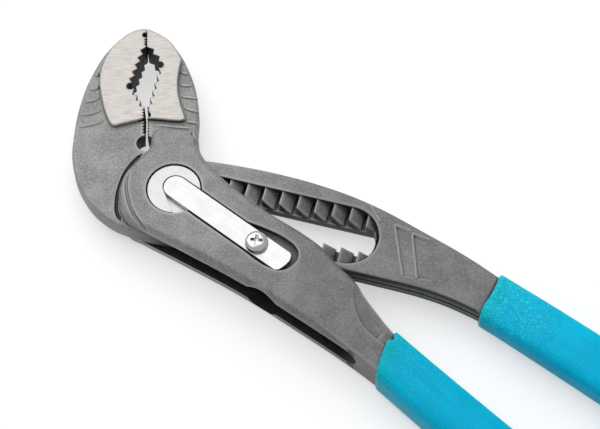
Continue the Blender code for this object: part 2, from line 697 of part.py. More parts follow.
def bolt_teeth_mesh():
    """Everything below the bolt's face teeth, which fit the ramps with an even gap."""
    first = -int(2 * BOLT_RADIUS / TOOTH_PITCH)
    count = 2 * int(2 * BOLT_RADIUS / TOOTH_PITCH)
    outline = []
    for i in range(count):
        x = RACK_START + (first + i) * TOOTH_PITCH
        lug_end = x + LUG_LENGTH + RUN_GAP
        outline.append((x - RUN_GAP, PLATE_FRONT - RAMP_LIP + TOOTH_GAP))
        outline.append((lug_end, PLATE_FRONT - RAMP_DROP + TOOTH_GAP))
        outline.append((lug_end, PLATE_FRONT - RAMP_DEPTH + TOOTH_GAP))
        outline.append((x + TOOTH_PITCH - RUN_GAP, PLATE_FRONT - RAMP_DEPTH + TOOTH_GAP))
    floor = -OVERSHOOT
    outline += [(outline[-1][0], floor), (outline[0][0], floor)]
    return upright_mesh("face_teeth", outline, BOLT_RADIUS + OVERSHOOT)


def fan_mesh():
    """Recess in the disc: the leaf's round end, and the fan that lets the disc turn under it."""
    half = LEAF_WIDTH / 2 + SEAT_GAP
    reach = BOLT_RADIUS + OVERSHOOT
    closed = LEAF_ANGLE + FAN_MARGIN
    opened = LEAF_ANGLE - OPENING_ANGLE - FAN_MARGIN
    outline = []
    for i in range(15):
        angle = opened + 270.0 + (closed - opened - 180.0) * i / 14
        outline.append(polar(half + LEAF_SIDE * cos(radians(angle - 90.0 - closed)), angle))
    outline.append(along((0.0, 0.0), closed, reach, LEAF_SIDE + half))
    outline.append(polar(reach, (closed + opened) / 2))
    outline.append(along((0.0, 0.0), opened, reach, LEAF_SIDE - half))
    return slab_mesh("fan", outline, GROOVE_FLOOR, BOX_THICK + OVERSHOOT)


def toothed_bolt(model, material):
    top = BOX_THICK - BOLT_SINK
    disc = drum_mesh("toothed_bolt", BOLT_RADIUS, BUSH_TOP, top, sides=64)
    bolt = model.piece("toothed_bolt", disc, material)
    model.combine(bolt, bolt_teeth_mesh())
    model.combine(bolt, flatted_mesh("stem", STEM_RADIUS, STEM_FLAT, STEM_INSET, PLATE_FRONT + 1.0), "UNION")
    model.combine(bolt, fan_mesh())
    return bolt


def leaf_spring(model, material):
    half = LEAF_WIDTH / 2
    outline = arc(half, 90.0, 270.0, 14)
    outline += [(LEAF_TAIL - 1.8, -half), (LEAF_TAIL - 0.7, -half + 1.0), (LEAF_TAIL - 0.1, -half + 3.4),
                (LEAF_TAIL, half - 2.2), (LEAF_TAIL - 0.5, half - 0.8), (LEAF_TAIL - 1.4, half)]
    mesh = lay_on_leaf_line(slab_mesh("leaf_spring", outline, LEAF_BOTTOM, LEAF_TOP))
    leaf = model.piece("leaf_spring", mesh, material)
    bend = on_leaf_line(SCREW_AT - SCREW_HEAD_RADIUS)
    pivot = Vector((bend[0], bend[1], LEAF_BOTTOM)) * MM
    mesh.transform(Matrix.Translation(-pivot))
    leaf.location = pivot
    model.combine(leaf, drum_mesh("leaf_hole", SCREW_RADIUS + SEAT_GAP, LEAF_BOTTOM - OVERSHOOT,
                                  LEAF_TOP + OVERSHOOT, on_leaf_line(SCREW_AT), 20))
    return leaf


def spring_screw(model, material):
    """Pan head screw: a turned profile with a cross recess."""
    seat = LEAF_TOP + SEAT_GAP
    head_top = seat + SCREW_HEAD_HEIGHT
    end = REAR_CHEEK + SLIT + RUN_GAP
    rim = 0.5
    crown = []
    for turned in (12.0, 35.0, 55.0, 74.0, 90.0):
        radius, rise = polar(1.0, 90.0 - turned)
        crown.append((SCREW_HEAD_RADIUS * radius, seat + rim + (SCREW_HEAD_HEIGHT - rim) * rise))
    profile = [(0.0, head_top)] + crown + [(SCREW_HEAD_RADIUS, seat), (SCREW_RADIUS, seat),
                                           (SCREW_RADIUS, end), (0.0, end)]
    mesh = bpy.data.meshes.new("spring_screw")
    mesh.from_pydata([(r * MM, 0.0, z * MM) for r, z in profile],
                     [(i, i + 1) for i in range(len(profile) - 1)], [])
    screw = model.piece("spring_screw", mesh, material)
    x, y = on_leaf_line(SCREW_AT)
    screw.location = (x * MM, y * MM, 0.0)
    turn = screw.modifiers.new("turn", "SCREW")
    turn.steps = 28
    turn.render_steps = 28
    turn.use_merge_vertices = True
    turn.merge_threshold = 0.00001
    for name, angle in (("drive_a", 8.0), ("drive_b", 98.0)):
        blade = [(-DRIVE_LENGTH / 2, head_top + OVERSHOOT), (-DRIVE_LENGTH / 2, head_top - 0.2),
                 (-DRIVE_LENGTH / 4, head_top - DRIVE_DEPTH), (DRIVE_LENGTH / 4, head_top - DRIVE_DEPTH),
                 (DRIVE_LENGTH / 2, head_top - 0.2), (DRIVE_LENGTH / 2, head_top + OVERSHOOT)]
        model.combine(screw, upright_mesh(name, blade, DRIVE_WIDTH / 2, angle, (x, y)))
    return screw


# Grips

def grip(model, name, handle, material):
    obj = model.piece(name, loft_mesh(name, handle.skin(), handle.place, GRIP_SIDES), material)
    model.combine(obj, loft_mesh(name + "_hollow", handle.core(RUN_GAP), handle.place, CORE_SIDES))
    return obj


def main():
    clear_scene()
    model = Model()
    steel = finish("forged_steel", STEEL, 0.55, 0.6)
    hardened = finish("hardened_steel", HARDENED, 0.4, 1.0)
    bright = finish("bright_plating", BRIGHT, 0.3, 1.0)
    screw_plating = finish("screw_plating", BRIGHT, 0.2, 1.0)
    upper_blue = finish("dipped_blue_upper", BLUE, 0.35, 0.0)
    lower_blue = finish("dipped_blue_lower", BLUE, 0.35, 0.0)
    made = [
        box_lever(model, steel),
        slotted_lever(model, steel.copy()),
        toothed_bolt(model, bright.copy()),
        slide_bush(model, hardened),
        leaf_spring(model, bright),
        spring_screw(model, screw_plating),
        grip(model, "upper_grip", UPPER, upper_blue),
        grip(model, "lower_grip", LOWER, lower_blue),
    ]
    for obj in made:
        shade(obj)


main()
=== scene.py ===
import json
from math import cos, pi, radians, sin

import bmesh
import bpy
from bpy.props import FloatProperty, FloatVectorProperty, IntProperty, PointerProperty
from mathutils import Matrix, Vector, noise


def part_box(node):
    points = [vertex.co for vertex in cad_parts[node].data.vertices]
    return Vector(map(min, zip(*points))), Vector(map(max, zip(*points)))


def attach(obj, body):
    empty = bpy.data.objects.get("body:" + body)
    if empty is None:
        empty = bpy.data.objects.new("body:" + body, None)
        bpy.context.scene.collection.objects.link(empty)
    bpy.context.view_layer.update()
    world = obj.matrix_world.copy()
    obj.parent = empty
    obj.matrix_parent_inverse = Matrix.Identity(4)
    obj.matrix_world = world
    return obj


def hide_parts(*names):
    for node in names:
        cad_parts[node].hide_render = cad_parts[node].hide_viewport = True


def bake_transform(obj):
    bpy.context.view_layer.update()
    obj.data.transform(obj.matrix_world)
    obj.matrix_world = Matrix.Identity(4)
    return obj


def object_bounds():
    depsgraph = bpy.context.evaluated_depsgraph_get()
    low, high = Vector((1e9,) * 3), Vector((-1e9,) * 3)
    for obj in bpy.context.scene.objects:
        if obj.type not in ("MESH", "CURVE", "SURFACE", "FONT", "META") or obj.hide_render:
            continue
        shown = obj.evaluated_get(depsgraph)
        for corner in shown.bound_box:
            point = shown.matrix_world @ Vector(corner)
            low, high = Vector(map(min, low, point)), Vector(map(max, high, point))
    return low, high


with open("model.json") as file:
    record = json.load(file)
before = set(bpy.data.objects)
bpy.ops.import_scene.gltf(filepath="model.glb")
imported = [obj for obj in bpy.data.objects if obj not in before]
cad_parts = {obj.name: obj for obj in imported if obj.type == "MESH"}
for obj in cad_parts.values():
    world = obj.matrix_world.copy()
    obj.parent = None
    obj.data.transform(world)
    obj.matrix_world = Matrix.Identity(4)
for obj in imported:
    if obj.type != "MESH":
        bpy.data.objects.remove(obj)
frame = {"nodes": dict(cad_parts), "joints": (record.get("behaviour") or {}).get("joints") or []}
CAD_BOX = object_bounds()

bl_info = {
    "name": "Water pump pliers looks",
    "version": (1, 0, 0),
    "blender": (4, 5, 0),
    "location": "View3D > Sidebar > Pliers",
    "description": "Finished meshes, materials and studio for a pair of water pump pliers",
    "category": "Object",
}

MM = 0.001
# Points this near each other are one
MERGE, MERGE_FINE, MERGE_SLIVERS = 0.002 * MM, 0.001 * MM, 0.012 * MM
WHITE = (1.0, 1.0, 1.0, 1.0)
JOINTS = {joint["name"]: joint for joint in frame["joints"]}
PIVOT = Vector(JOINTS["jaw_pivot"]["pos_m"])
LEAF_AXIS = Vector(JOINTS["leaf_flex"]["axis"])
LEAF_ALONG = Vector((LEAF_AXIS.y, -LEAF_AXIS.x, 0.0))

# Heights in millimetres, from the plane that the tool lies on
PAD_HEIGHTS = (12.70, 2.90)
SLIT = (3.9, 11.7)
FRONT = 11.3
RIB_MIDDLE = 11.15
RUB_MIDDLE = 11.4

# Plan places and lines, in millimetres from the pivot; a third number is a height
SEAM_FOOT = (-13.7, 15.0)
SEAM_ANGLE = radians(106.1)
SLIT_END = (66.0, 16.0)
# Range in X over which painted shade grows on the slotted lever's walls that face down the picture
SHADE_BELOW_FROM_TO = (-12.0, 0.0)
# Range in X over which the painted shade of the handles grows
HANDLE_SHADE_FROM_TO = (-2.0, 60.0)
BOSS_CREASE = [
    (-14.9, 4.4, 15.0), (-15.1, 0.9, 15.3), (-14.2, -3.3, 15.6), (-12.4, -7.2, 15.6),
    (-9.9, -10.9, 15.6), (-7.0, -13.7, 15.1), (-4.5, -15.1, 13.7), (-2.0, -16.0, 12.4),
]
RUB_LINE = [
    (-13.6, 11.5), (-15.6, 7.7), (-16.9, 3.5), (-17.2, -0.5), (-16.9, -5.2), (-15.5, -10.1), (-13.1, -13.0),
]
HANDLE_LINES = [
    [(59.1, 11.6), (60.9, 9.5), (63.4, 6.8)],
    [(73.2, 6.0), (70.4, 6.7), (68.2, 7.1), (67.9, 6.6), (70.8, -1.2), (73.9, -9.2)],
    [(79.3, 4.5), (76.2, 5.2), (74.0, 5.5), (73.7, 5.0), (76.0, -2.0), (78.3, -9.2)],
]
JAW_RIDGE = [(-12.8, 21.5), (-10.7, 22.5), (-7.5, 22.9), (-3.5, 23.5), (-1.1, 24.0)]
# Heights above the front face
NECK_BURR = [(0.2, 20.2, 4.15), (1.0, 19.2, 4.0), (1.9, 18.3, 3.55), (2.5, 17.6, 2.8)]

# Ribs: plan place, length, turn in degrees
LEFT_RIBS = [
    (-36.0, 35.2, 2.0, 26.0), (-35.3, 30.2, 3.9, 28.0), (-34.7, 25.9, 5.4, 29.0),
    (-33.6, 21.4, 7.4, 30.0), (-32.3, 17.6, 9.0, 31.0),
]
RIGHT_RIBS = [
    (-9.1, 42.6, 2.6, -2.0), (-7.3, 38.4, 4.2, 14.0), (-5.1, 34.4, 5.5, 8.0),
    (-3.2, 30.1, 5.0, -2.0), (-1.8, 25.9, 4.2, 5.0),
]

# Dipped mouths: millimetres across the grip, and how far the vinyl stands back there
UPPER_MOUTH = [(-8.0, -0.4), (-5.0, -0.9), (0.0, -0.3), (3.0, -0.5), (8.0, -0.7)]
LOWER_MOUTH = [(-8.0, 0.2), (-4.0, -0.6), (0.0, -1.2), (2.9, -0.9), (3.7, 0.2), (8.0, -0.2)]


# Settings

def size(name, millimetres, text):
    return FloatProperty(name=name, description=text, default=millimetres * MM, unit="LENGTH", precision=5)


def share(name, default, text):
    return FloatProperty(name=name, description=text, default=default, subtype="FACTOR", min=-1.0, max=1.0)


def angle(name, degrees, text):
    return FloatProperty(name=name, description=text, default=radians(degrees), subtype="ANGLE")


def level(name, default, text, unit="NONE"):
    return FloatProperty(name=name, description=text, default=default, unit=unit)


def count(name, default, least, text):
    return IntProperty(name=name, description=text, default=default, min=least)


def vector(name, default, subtype, text):
    return FloatVectorProperty(name=name, description=text, default=default, subtype=subtype)


def colour(name, default, text):
    return FloatVectorProperty(name=name, description=text, default=default, subtype="COLOR", size=3,
                               min=0.0, max=1.0)


class SteelSettings(bpy.types.PropertyGroup):
    """Forged levers."""
    box_colour: colour("Box lever", (0.290, 0.290, 0.286), "Blasted steel of the box lever")
    slotted_colour: colour("Slotted lever", (0.303, 0.304, 0.295), "Blasted steel of the slotted lever")
    pad_colour: colour("Ground pads", (0.505, 0.480, 0.455), "Steel of the ground jaw pads")
    streak_colour: colour("Grinding streaks", (0.44, 0.39, 0.365), "Warm streaks in the ground jaw pads")
    # Black of the tooth walls, the slit and the rub groove: black scale and painted shade
    scale_and_shade_colour: colour("Jaw teeth", (0.022, 0.022, 0.023), "Blackened walls of the jaw teeth")
    # Painted shade: the handles are darkened by this factor beside the jaws
    handle_shade: share("Handle tone", 0.65, "Tone of the handles beside that of the jaws")
    grain: size("Grain", 0.6, "Size of the blasted grain")
    groove: size("Rub groove", 1.3, "Width of the groove that the boss has rubbed into the slotted lever")
    crease: size("Boss crease", 1.3, "Width of the crease round the box lever's boss")
    edge: size("Edge", 0.8, "Rounding and wear along the edges")
    smooth: angle("Smooth angle", 48.0, "Edges flatter than this are shaded smooth")


class RibSettings(bpy.types.PropertyGroup):
    """Ribs on the bands beside the jaw pads."""
    left_width: size("Left rib width", 2.0, "Width of a rib on the slotted lever's jaw")
    left_height: size("Left rib height", 0.5, "Height of a rib on the slotted lever's jaw")
    left_tilt: angle("Left rib tilt", -9.0, "Lean of a rib towards its steep side")
    right_width: size("Right rib width", 1.1, "Width of a rib on the box lever's jaw")
    right_height: size("Right rib height", 0.75, "Height of a rib on the box lever's jaw")
    right_tilt: angle("Right rib tilt", 0.0, "Lean of a rib towards its steep side")


class MarkSettings(bpy.types.PropertyGroup):
    """Forging marks on the levers."""
    width: size("Line width", 0.6, "Width of a raised forging line on the slotted lever")
    height: size("Line height", 0.2, "Height of a raised forging line, inside the slit's running gap")
    ridge_width: size("Ridge width", 1.0, "Width of the ridge at the root of the box lever's jaw")
    ridge_height: size("Ridge height", 0.3, "Height of that ridge")
    burr: size("Burr", 0.55, "Width of the bright burr along the neck's edge")


class FittingSettings(bpy.types.PropertyGroup):
    """Bolt, bush, leaf spring and screw."""
    leaf_plating: colour("Leaf plating", (0.57, 0.573, 0.573), "Zinc plating of the leaf spring")
    bolt_plating: colour("Bolt plating", (0.51, 0.51, 0.507), "Zinc plating of the bolt")
    screw_plating: colour("Screw plating", (0.64, 0.66, 0.63), "Zinc plating of the screw")
    hardened: colour("Bush", (0.30, 0.30, 0.30), "Hardened steel of the bush")
    leaf_round: size("Leaf edge", 0.17, "Rounding of the leaf spring's edges")
    leaf_step: size("Leaf step", 0.9, "Distance between the leaf spring's bending lines")
    leaf_width: size("Leaf width", 7.5, "Width of the leaf spring")
    leaf_tail: size("Leaf tail", 43.0, "From the pivot to the leaf spring's tail")
    leaf_side: size("Leaf side", 0.9, "Leaf spring's middle line beside the pivot, towards the jaws")
    blend: size("Leaf bend", 14.0, "Length over which the leaf spring bends")
    head: size("Screw head", 2.3, "Height of the screw's head")
    rim: size("Screw rim", 0.7, "Height of the upright rim under the screw head's dome")
    drive: size("Cross recess", 4.3, "Length of the screw's cross recess")
    drive_width: size("Cross width", 1.05, "Width of an arm of the cross recess")
    drive_depth: size("Cross depth", 1.7, "Depth of the screw's cross recess")
    screw_sides: count("Screw sides", 56, 12, "Steps round the screw")


def grip_fields(start_x, start_y, degrees, length, bow, slant, width, thick, mouth, mouth_thick):
    """Settings of one grip, with these defaults."""
    return {
        "start_x": size("Start X", start_x, "Grip's mouth from the pivot, along X"),
        "start_y": size("Start Y", start_y, "Grip's mouth from the pivot, along Y"),
        "angle": angle("Angle", degrees, "Direction of the handle"),
        "length": size("Length", length, "Length of the grip"),
        "bow": size("Bow", bow, "Sideways drift at the far end"),
        "slant": share("Slant", slant, "Lean of the grip's mouth"),
        "width": size("Width", width, "Width of the grip"),
        "thick": size("Thickness", thick, "Thickness of the grip"),
        "mouth": size("Mouth width", mouth, "Width of the steel at the mouth"),
        "mouth_thick": size("Mouth thickness", mouth_thick, "Thickness of the steel at the mouth"),
    }


class UpperGripSettings(bpy.types.PropertyGroup):
    """Dipped grip of the slotted lever."""
    __annotations__ = grip_fields(start_x=101.5, start_y=-9.1, degrees=-20.2, length=107.5, bow=-5.0,
                                  slant=-0.12, width=16.6, thick=12.0, mouth=13.2, mouth_thick=7.0)


class LowerGripSettings(bpy.types.PropertyGroup):
    """Dipped grip of the box lever."""
    __annotations__ = grip_fields(start_x=75.3, start_y=-35.8, degrees=-29.6, length=111.2, bow=5.0,
                                  slant=-0.36, width=15.9, thick=15.0, mouth=12.2, mouth_thick=12.2)


class DipSettings(bpy.types.PropertyGroup):
    """Vinyl of both grips."""
    colour: colour("Vinyl", (0.0, 0.59, 0.88), "Blue of the dipped vinyl")
    # Paler blue painted as glints on the pimples near the mouth
    pimple_glint: colour("Pimples", (0.10, 0.86, 1.0), "Paler blue of the vinyl's pimples")
    wall: size("Wall", 1.6, "Thickness of the vinyl")
    lip: size("Lip", 0.9, "Thickness of the vinyl at the mouth")
    lip_length: size("Lip length", 1.2, "Length of the rounded lip")
    inside: size("Inside", 3.0, "How far the vinyl is closed inside its mouth")
    swell: size("Swell", 34.0, "The grip reaches its full size this far from its mouth")
    dome: size("Dome", 7.0, "Length of the rounded end")
    ragged: size("Ragged", 0.5, "Unevenness of the dipped mouth")
    ragged_length: size("Ragged length", 9.0, "The mouth's unevenness dies out this far from it")
    sag: size("Sag", 0.12, "Unevenness of the vinyl's surface")
    square: share("Square", 0.55, "Power that squares a grip's round section; 1 leaves it round")
    rings: count("Rings", 150, 20, "Sections along a grip")
    sides: count("Sides", 72, 12, "Points round a section")


class StageSettings(bpy.types.PropertyGroup):
    """Floor, light and camera."""
    floor: colour("Floor", (0.66, 0.66, 0.66), "Plain pale floor")
    bounce: level("Bounce", 0.75, "Share of its colour that the floor throws back")
    glow: level("Glow", 0.52, "Light that the floor adds in the picture alone")
    ambient: level("Ambient", 0.44, "Light from the bright side")
    fill: level("Fill", 0.28, "Light from the dim side")
    mirrored: level("Mirrored", 0.55, "Least light that bright metal mirrors")
    bright_side: vector("Bright side", (-0.25, 0.55, 0.80), "DIRECTION", "Side that the room is brightest on")
    key: level("Key", 6.4, "Power of the large soft light", "POWER")
    key_size: level("Key size", 1.30, "Side of the large soft light", "LENGTH")
    key_side: vector("Key side", (-0.35, 0.40, 0.85), "DIRECTION", "Direction of the large soft light")
    key_away: level("Key distance", 0.90, "Distance of the large soft light", "LENGTH")
    camera: vector("Camera", (0.0854, -0.2552, 0.5478), "TRANSLATION", "Place of the camera")
    ahead: vector("Ahead", (-0.1164, 0.4468, -0.8870), "DIRECTION", "Direction the camera looks")
    roll: angle("Roll", 14.6, "Turn of the picture's horizontal about Z")
    lens: level("Lens", 118.8, "Focal length", "CAMERA")


# Small helpers

def spot(x, y, z=0.0):
    """Point of the part from millimetres measured from the pivot."""
    return PIVOT + Vector((x, y, z)) * MM


def tint(base, factor):
    """Colour made lighter or darker, with an alpha of 1."""
    return (*(min(part * factor, 1.0) for part in base), 1.0)


def piece(name, data, *materials):
    """Object in the scene with only these materials."""
    made = bpy.data.objects.new(name, data)
    made.data.materials.clear()
    for material in materials:
        made.data.materials.append(material)
    bpy.context.scene.collection.objects.link(made)
    return made


def settle(obj):
    """Replaces an object's shape, modifiers included, by one plain mesh."""
    bpy.context.view_layer.update()
    graph = bpy.context.evaluated_depsgraph_get()
    mesh = bpy.data.meshes.new_from_object(obj.evaluated_get(graph))
    name = obj.name
    bpy.data.objects.remove(obj, do_unlink=True)
    mesh.name = name
    return mesh


def mesh_from(work, name):
    """Plain mesh from a bmesh, which is freed."""
    mesh = bpy.data.meshes.new(name)
    work.to_mesh(mesh)
    work.free()
    return mesh


def shade(mesh, limit):
    """Shades edges flatter than this angle smooth."""
    mesh.shade_smooth()
    mesh.set_sharp_from_angle(angle=limit)


def smoothed(name, mesh, limit, *materials):
    """Piece with smooth shading in which large flat faces stay flat."""
    shade(mesh, limit)
    obj = piece(name, mesh)
    step = obj.modifiers.new("normals", "WEIGHTED_NORMAL")
    step.mode = "FACE_AREA"
    step.weight = 50
    step.keep_sharp = True
    return piece(name, settle(obj), *materials)


def carved(name, mesh, cutters):
    """The mesh with these closed meshes cut out of it."""
    obj = piece(name, mesh)
    tools = [piece("cutter", cutter) for cutter in cutters]
    for tool in tools:
        step = obj.modifiers.new("cut", "BOOLEAN")
        step.operation = "DIFFERENCE"
        step.object = tool
    made = settle(obj)
    for tool in tools:
        bpy.data.objects.remove(tool, do_unlink=True)
    return made


def cad_copy(node):
    """Merged copy of a CAD node's mesh, with its flat faces whole again."""
    mesh = frame["nodes"][node].data.copy()
    for name in ("custom_normal", "sharp_edge", "sharp_face"):
        if name in mesh.attributes:
            mesh.attributes.remove(mesh.attributes[name])
    work = bmesh.new()
    work.from_mesh(mesh)
    bmesh.ops.remove_doubles(work, verts=work.verts, dist=MERGE)
    bmesh.ops.dissolve_limit(work, angle_limit=radians(0.4), verts=work.verts, edges=work.edges)
    work.to_mesh(mesh)
    work.free()
    return mesh


def finish_piece(obj, body, slot, *nodes):
    """Hands a finished piece to its body and hides the CAD nodes it stands for; slot is not used."""
    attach(obj, body)
    if nodes:
        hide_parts(*nodes)


# Finishes

class Nodes:
    """Short ways to add nodes to a tree."""

    def __init__(self, tree):
        self.tree = tree

    def feed(self, socket, value):
        """Links a socket's source, or sets its constant."""
        if isinstance(value, bpy.types.NodeSocket):
            self.tree.links.new(value, socket)
        else:
            socket.default_value = value

    def node(self, kind, sockets=None, **values):
        """New node with these values, and with these sockets fed by name or number."""
        made = self.tree.nodes.new(kind)
        for key, value in values.items():
            setattr(made, key, value)
        for key, value in (sockets or {}).items():
            self.feed(made.inputs[key], value)
        return made

    def math(self, operation, first, second):
        return self.node("ShaderNodeMath", {0: first, 1: second}, operation=operation).outputs[0]

    def dot(self, first, second):
        made = self.node("ShaderNodeVectorMath", {0: first, 1: second}, operation="DOT_PRODUCT")
        return made.outputs["Value"]

    def spread(self, value, low, high, to_low=0.0, to_high=1.0, between="SMOOTHSTEP"):
        """Carries low to to_low and high to to_high, and holds the values outside them."""
        made = self.node("ShaderNodeMapRange", {"Value": value, "From Min": low, "From Max": high,
                                                "To Min": to_low, "To Max": to_high},
                         interpolation_type=between)
        return made.outputs[0]


class Paint(Nodes):
    """A Principled material, and the textures and masks that its finishes share."""

    def __init__(self, name, roughness=0.5, metallic=0.0):
        self.material = bpy.data.materials.new(name)
        self.material.use_nodes = True
        super().__init__(self.material.node_tree)
        self.shader = self.tree.nodes["Principled BSDF"]
        self.coordinates = self.node("ShaderNodeTexCoord").outputs
        self.set("Roughness", roughness)
        self.set("Metallic", metallic)

    def set(self, name, value):
        self.feed(self.shader.inputs[name], value)

    def noise(self, per_mm, detail=3.0, roughness=0.55, stretch=(1.0, 1.0, 1.0), turn=0.0):
        """Noise with this many grains to a millimetre, turned in plan and then stretched."""
        turned = self.node("ShaderNodeMapping", {"Vector": self.coordinates["Object"],
                                                 "Rotation": (0.0, 0.0, -turn)})
        place = self.node("ShaderNodeMapping", {"Vector": turned.outputs["Vector"],
                                                "Scale": Vector(stretch) * per_mm / MM})
        made = self.node("ShaderNodeTexNoise", {"Vector": place.outputs["Vector"], "Scale": 1.0,
                                                "Detail": detail, "Roughness": roughness})
        return made.outputs[0]

    def mix(self, factor, first, second, blend="MIX"):
        """Mix of two colours, which are sockets 6 and 7 of the node."""
        made = self.node("ShaderNodeMix", {0: factor, 6: first, 7: second}, data_type="RGBA",
                         blend_type=blend)
        return made.outputs[2]

    def coat(self, skin, mask, most, over):
        """Lays a colour over the skin where the mask is, at most with this share."""
        return self.mix(self.math("MULTIPLY", mask, most), skin, over)

    def bump(self, height, strength, distance, under=None):
        sockets = {"Strength": strength, "Distance": distance, "Height": height}
        if under is not None:
            sockets["Normal"] = under
        return self.node("ShaderNodeBump", sockets).outputs[0]

    def shelter(self, distance, low, high, inside=False, only_local=False):
        """Rises to 1 where surfaces within this distance close in."""
        made = self.node("ShaderNodeAmbientOcclusion", {"Distance": distance}, samples=8, inside=inside,
                         only_local=only_local)
        return self.spread(made.outputs["AO"], low, high)

    def edges(self, radius):
        """Normals rounded over the edges, a mask of the worn edges and a mask of painted shade in gaps,
        corners and recesses.
        """
        rounded = self.node("ShaderNodeBevel", {"Radius": radius}, samples=6).outputs[0]
        turned = self.dot(rounded, self.node("ShaderNodeNewGeometry").outputs["Normal"])
        gaps = self.shelter(1.5 * MM, 0.80, 0.45)
        corners = self.shelter(5.0 * MM, 0.74, 0.26)
        depths = self.shelter(22.0 * MM, 0.58, 0.26, only_local=True)
        shade_in_hollows = self.math("MAXIMUM", self.math("MAXIMUM", gaps, corners), depths)
        worn = self.math("MULTIPLY", self.spread(turned, 0.992, 0.90), self.math("SUBTRACT", 1.0, gaps))
        return rounded, worn, shade_in_hollows

    def along_x(self, start, end):
        """Rises from 0 to 1 between two distances along X, in millimetres from the pivot."""
        split = self.node("ShaderNodeSeparateXYZ", {0: self.coordinates["Object"]})
        return self.spread(split.outputs["X"], spot(start, 0.0).x, spot(end, 0.0).x)

    def lower_side(self):
        """Rises to 1 on the walls that face down the picture, where shade is painted."""
        split = self.node("ShaderNodeSeparateXYZ", {0: self.coordinates["Normal"]})
        return self.spread(split.outputs["Y"], -0.35, -0.75)

    def done(self, base, normal=None, roughness=None):
        """The material with its last sockets linked."""
        for name, value in (("Base Color", base), ("Normal", normal), ("Roughness", roughness)):
            if value is not None:
                self.set(name, value)
        return self.material


def forged_steel(name, base, settings, shaded_below=False):
    """Blasted forging: clouds, grain, specks, scuffs, worn edges, rubbed roundings with a painted highlight,
    and painted shade.
    """
    paint = Paint(name, metallic=0.35)
    waves = paint.noise(0.07, 2.0)
    clouds = paint.spread(paint.noise(0.10, 4.0, 0.6), 0.38, 0.62)
    blotches = paint.noise(0.5, 5.0, 0.7)
    grain = paint.noise(MM / settings.grain, 4.0, 0.7)
    specks = paint.noise(1.5, 2.0)
    pits = paint.noise(1.3, 2.0, 0.5, turn=1.1)
    scuffs = paint.noise(0.9, 3.0, 0.6, (0.12, 1.0, 1.0), 0.9)
    rounded, worn, shade_in_hollows = paint.edges(settings.edge)
    rubbed = paint.shelter(1.3 * MM, 0.96, 0.70, inside=True, only_local=True)
    skin = paint.mix(clouds, tint(base, 0.84), tint(base, 1.13))
    # Each mark grows from none at the first value to its full share at the second
    for texture, none, full, most, tone in (
        (blotches, 0.5, 0.72, 0.30, 1.35),
        (blotches, 0.5, 0.28, 0.30, 0.60),
        (grain, 0.5, 0.70, 0.85, 1.65),
        (grain, 0.5, 0.30, 0.85, 0.45),
        (specks, 0.68, 0.78, 0.5, 1.8),
        (pits, 0.34, 0.24, 0.6, 0.5),
        (scuffs, 0.66, 0.76, 0.3, 1.5),
    ):
        skin = paint.mix(paint.spread(texture, none, full, 0.0, most), skin, tint(base, tone))
    # Roundings lightened: partly rubbed wear, partly a painted highlight
    skin = paint.coat(skin, rubbed, 0.6, tint(base, 1.6))
    # Painted shade on the walls that face down the picture, from the pivot on towards the handle; this mask
    # is shade, not forging scale
    if shaded_below:
        scale = paint.math("MULTIPLY", paint.along_x(*SHADE_BELOW_FROM_TO), paint.lower_side())
        skin = paint.coat(skin, scale, 0.85, tint(base, 0.10))
    # Painted shade in gaps, corners and deep recesses
    skin = paint.mix(shade_in_hollows, skin, tint(base, 0.16))
    skin = paint.coat(skin, worn, 0.8, tint(base, 2.3))
    # Painted shade that darkens the handles beside the jaws
    skin = paint.mix(paint.along_x(*HANDLE_SHADE_FROM_TO), skin, tint(WHITE[:3], settings.handle_shade), "MULTIPLY")
    normal = paint.bump(waves, 0.6, 1.2 * MM, rounded)
    normal = paint.bump(blotches, 0.35, 0.08 * MM, normal)
    normal = paint.bump(grain, 0.5, 0.08 * MM, normal)
    return paint.done(skin, normal, paint.spread(grain, 0.2, 0.8, 0.42, 0.62))


def ground_steel(name, settings, turn):
    """Pads ground in one direction."""
    base = settings.pad_colour
    paint = Paint(name, metallic=0.85)
    fine = paint.noise(4.2, 3.0, 0.65, (0.09, 1.0, 1.0), turn)
    broad = paint.noise(1.9, 4.0, 0.7, (0.14, 1.0, 1.0), turn)
    rounded, worn, shade_in_hollows = paint.edges(settings.edge)
    skin = paint.mix(paint.spread(fine, 0.35, 0.65), tint(base, 0.87), tint(base, 1.07))
    skin = paint.mix(paint.spread(broad, 0.45, 0.75, 0.0, 0.4), skin, tint(settings.streak_colour, 1.0))
    # Painted shade in the gaps and corners round the pads
    skin = paint.coat(skin, shade_in_hollows, 0.4, tint(base, 0.5))
    skin = paint.coat(skin, worn, 0.6, tint(base, 1.35))
    normal = paint.bump(fine, 0.30, 0.02 * MM, rounded)
    return paint.done(skin, normal, paint.spread(broad, 0.3, 0.7, 0.36, 0.52))


def black_scale_and_shade(name, settings):
    """Black scale and painted shade on the tooth walls, in the slit and in the rub groove, a little brighter
    along their edges.
    """
    base = settings.scale_and_shade_colour
    paint = Paint(name, metallic=0.3)
    cuts = paint.noise(1.6, 3.0, 0.6, (1.0, 1.0, 0.25))
    rounded, worn, _ = paint.edges(settings.edge * 0.6)
    skin = paint.mix(paint.spread(cuts, 0.35, 0.65), tint(base, 0.7), tint(base, 1.9))
    skin = paint.coat(skin, worn, 0.35, tint(base, 6.0))
    normal = paint.bump(cuts, 0.4, 0.06 * MM, rounded)
    return paint.done(skin, normal, paint.spread(cuts, 0.3, 0.7, 0.42, 0.6))


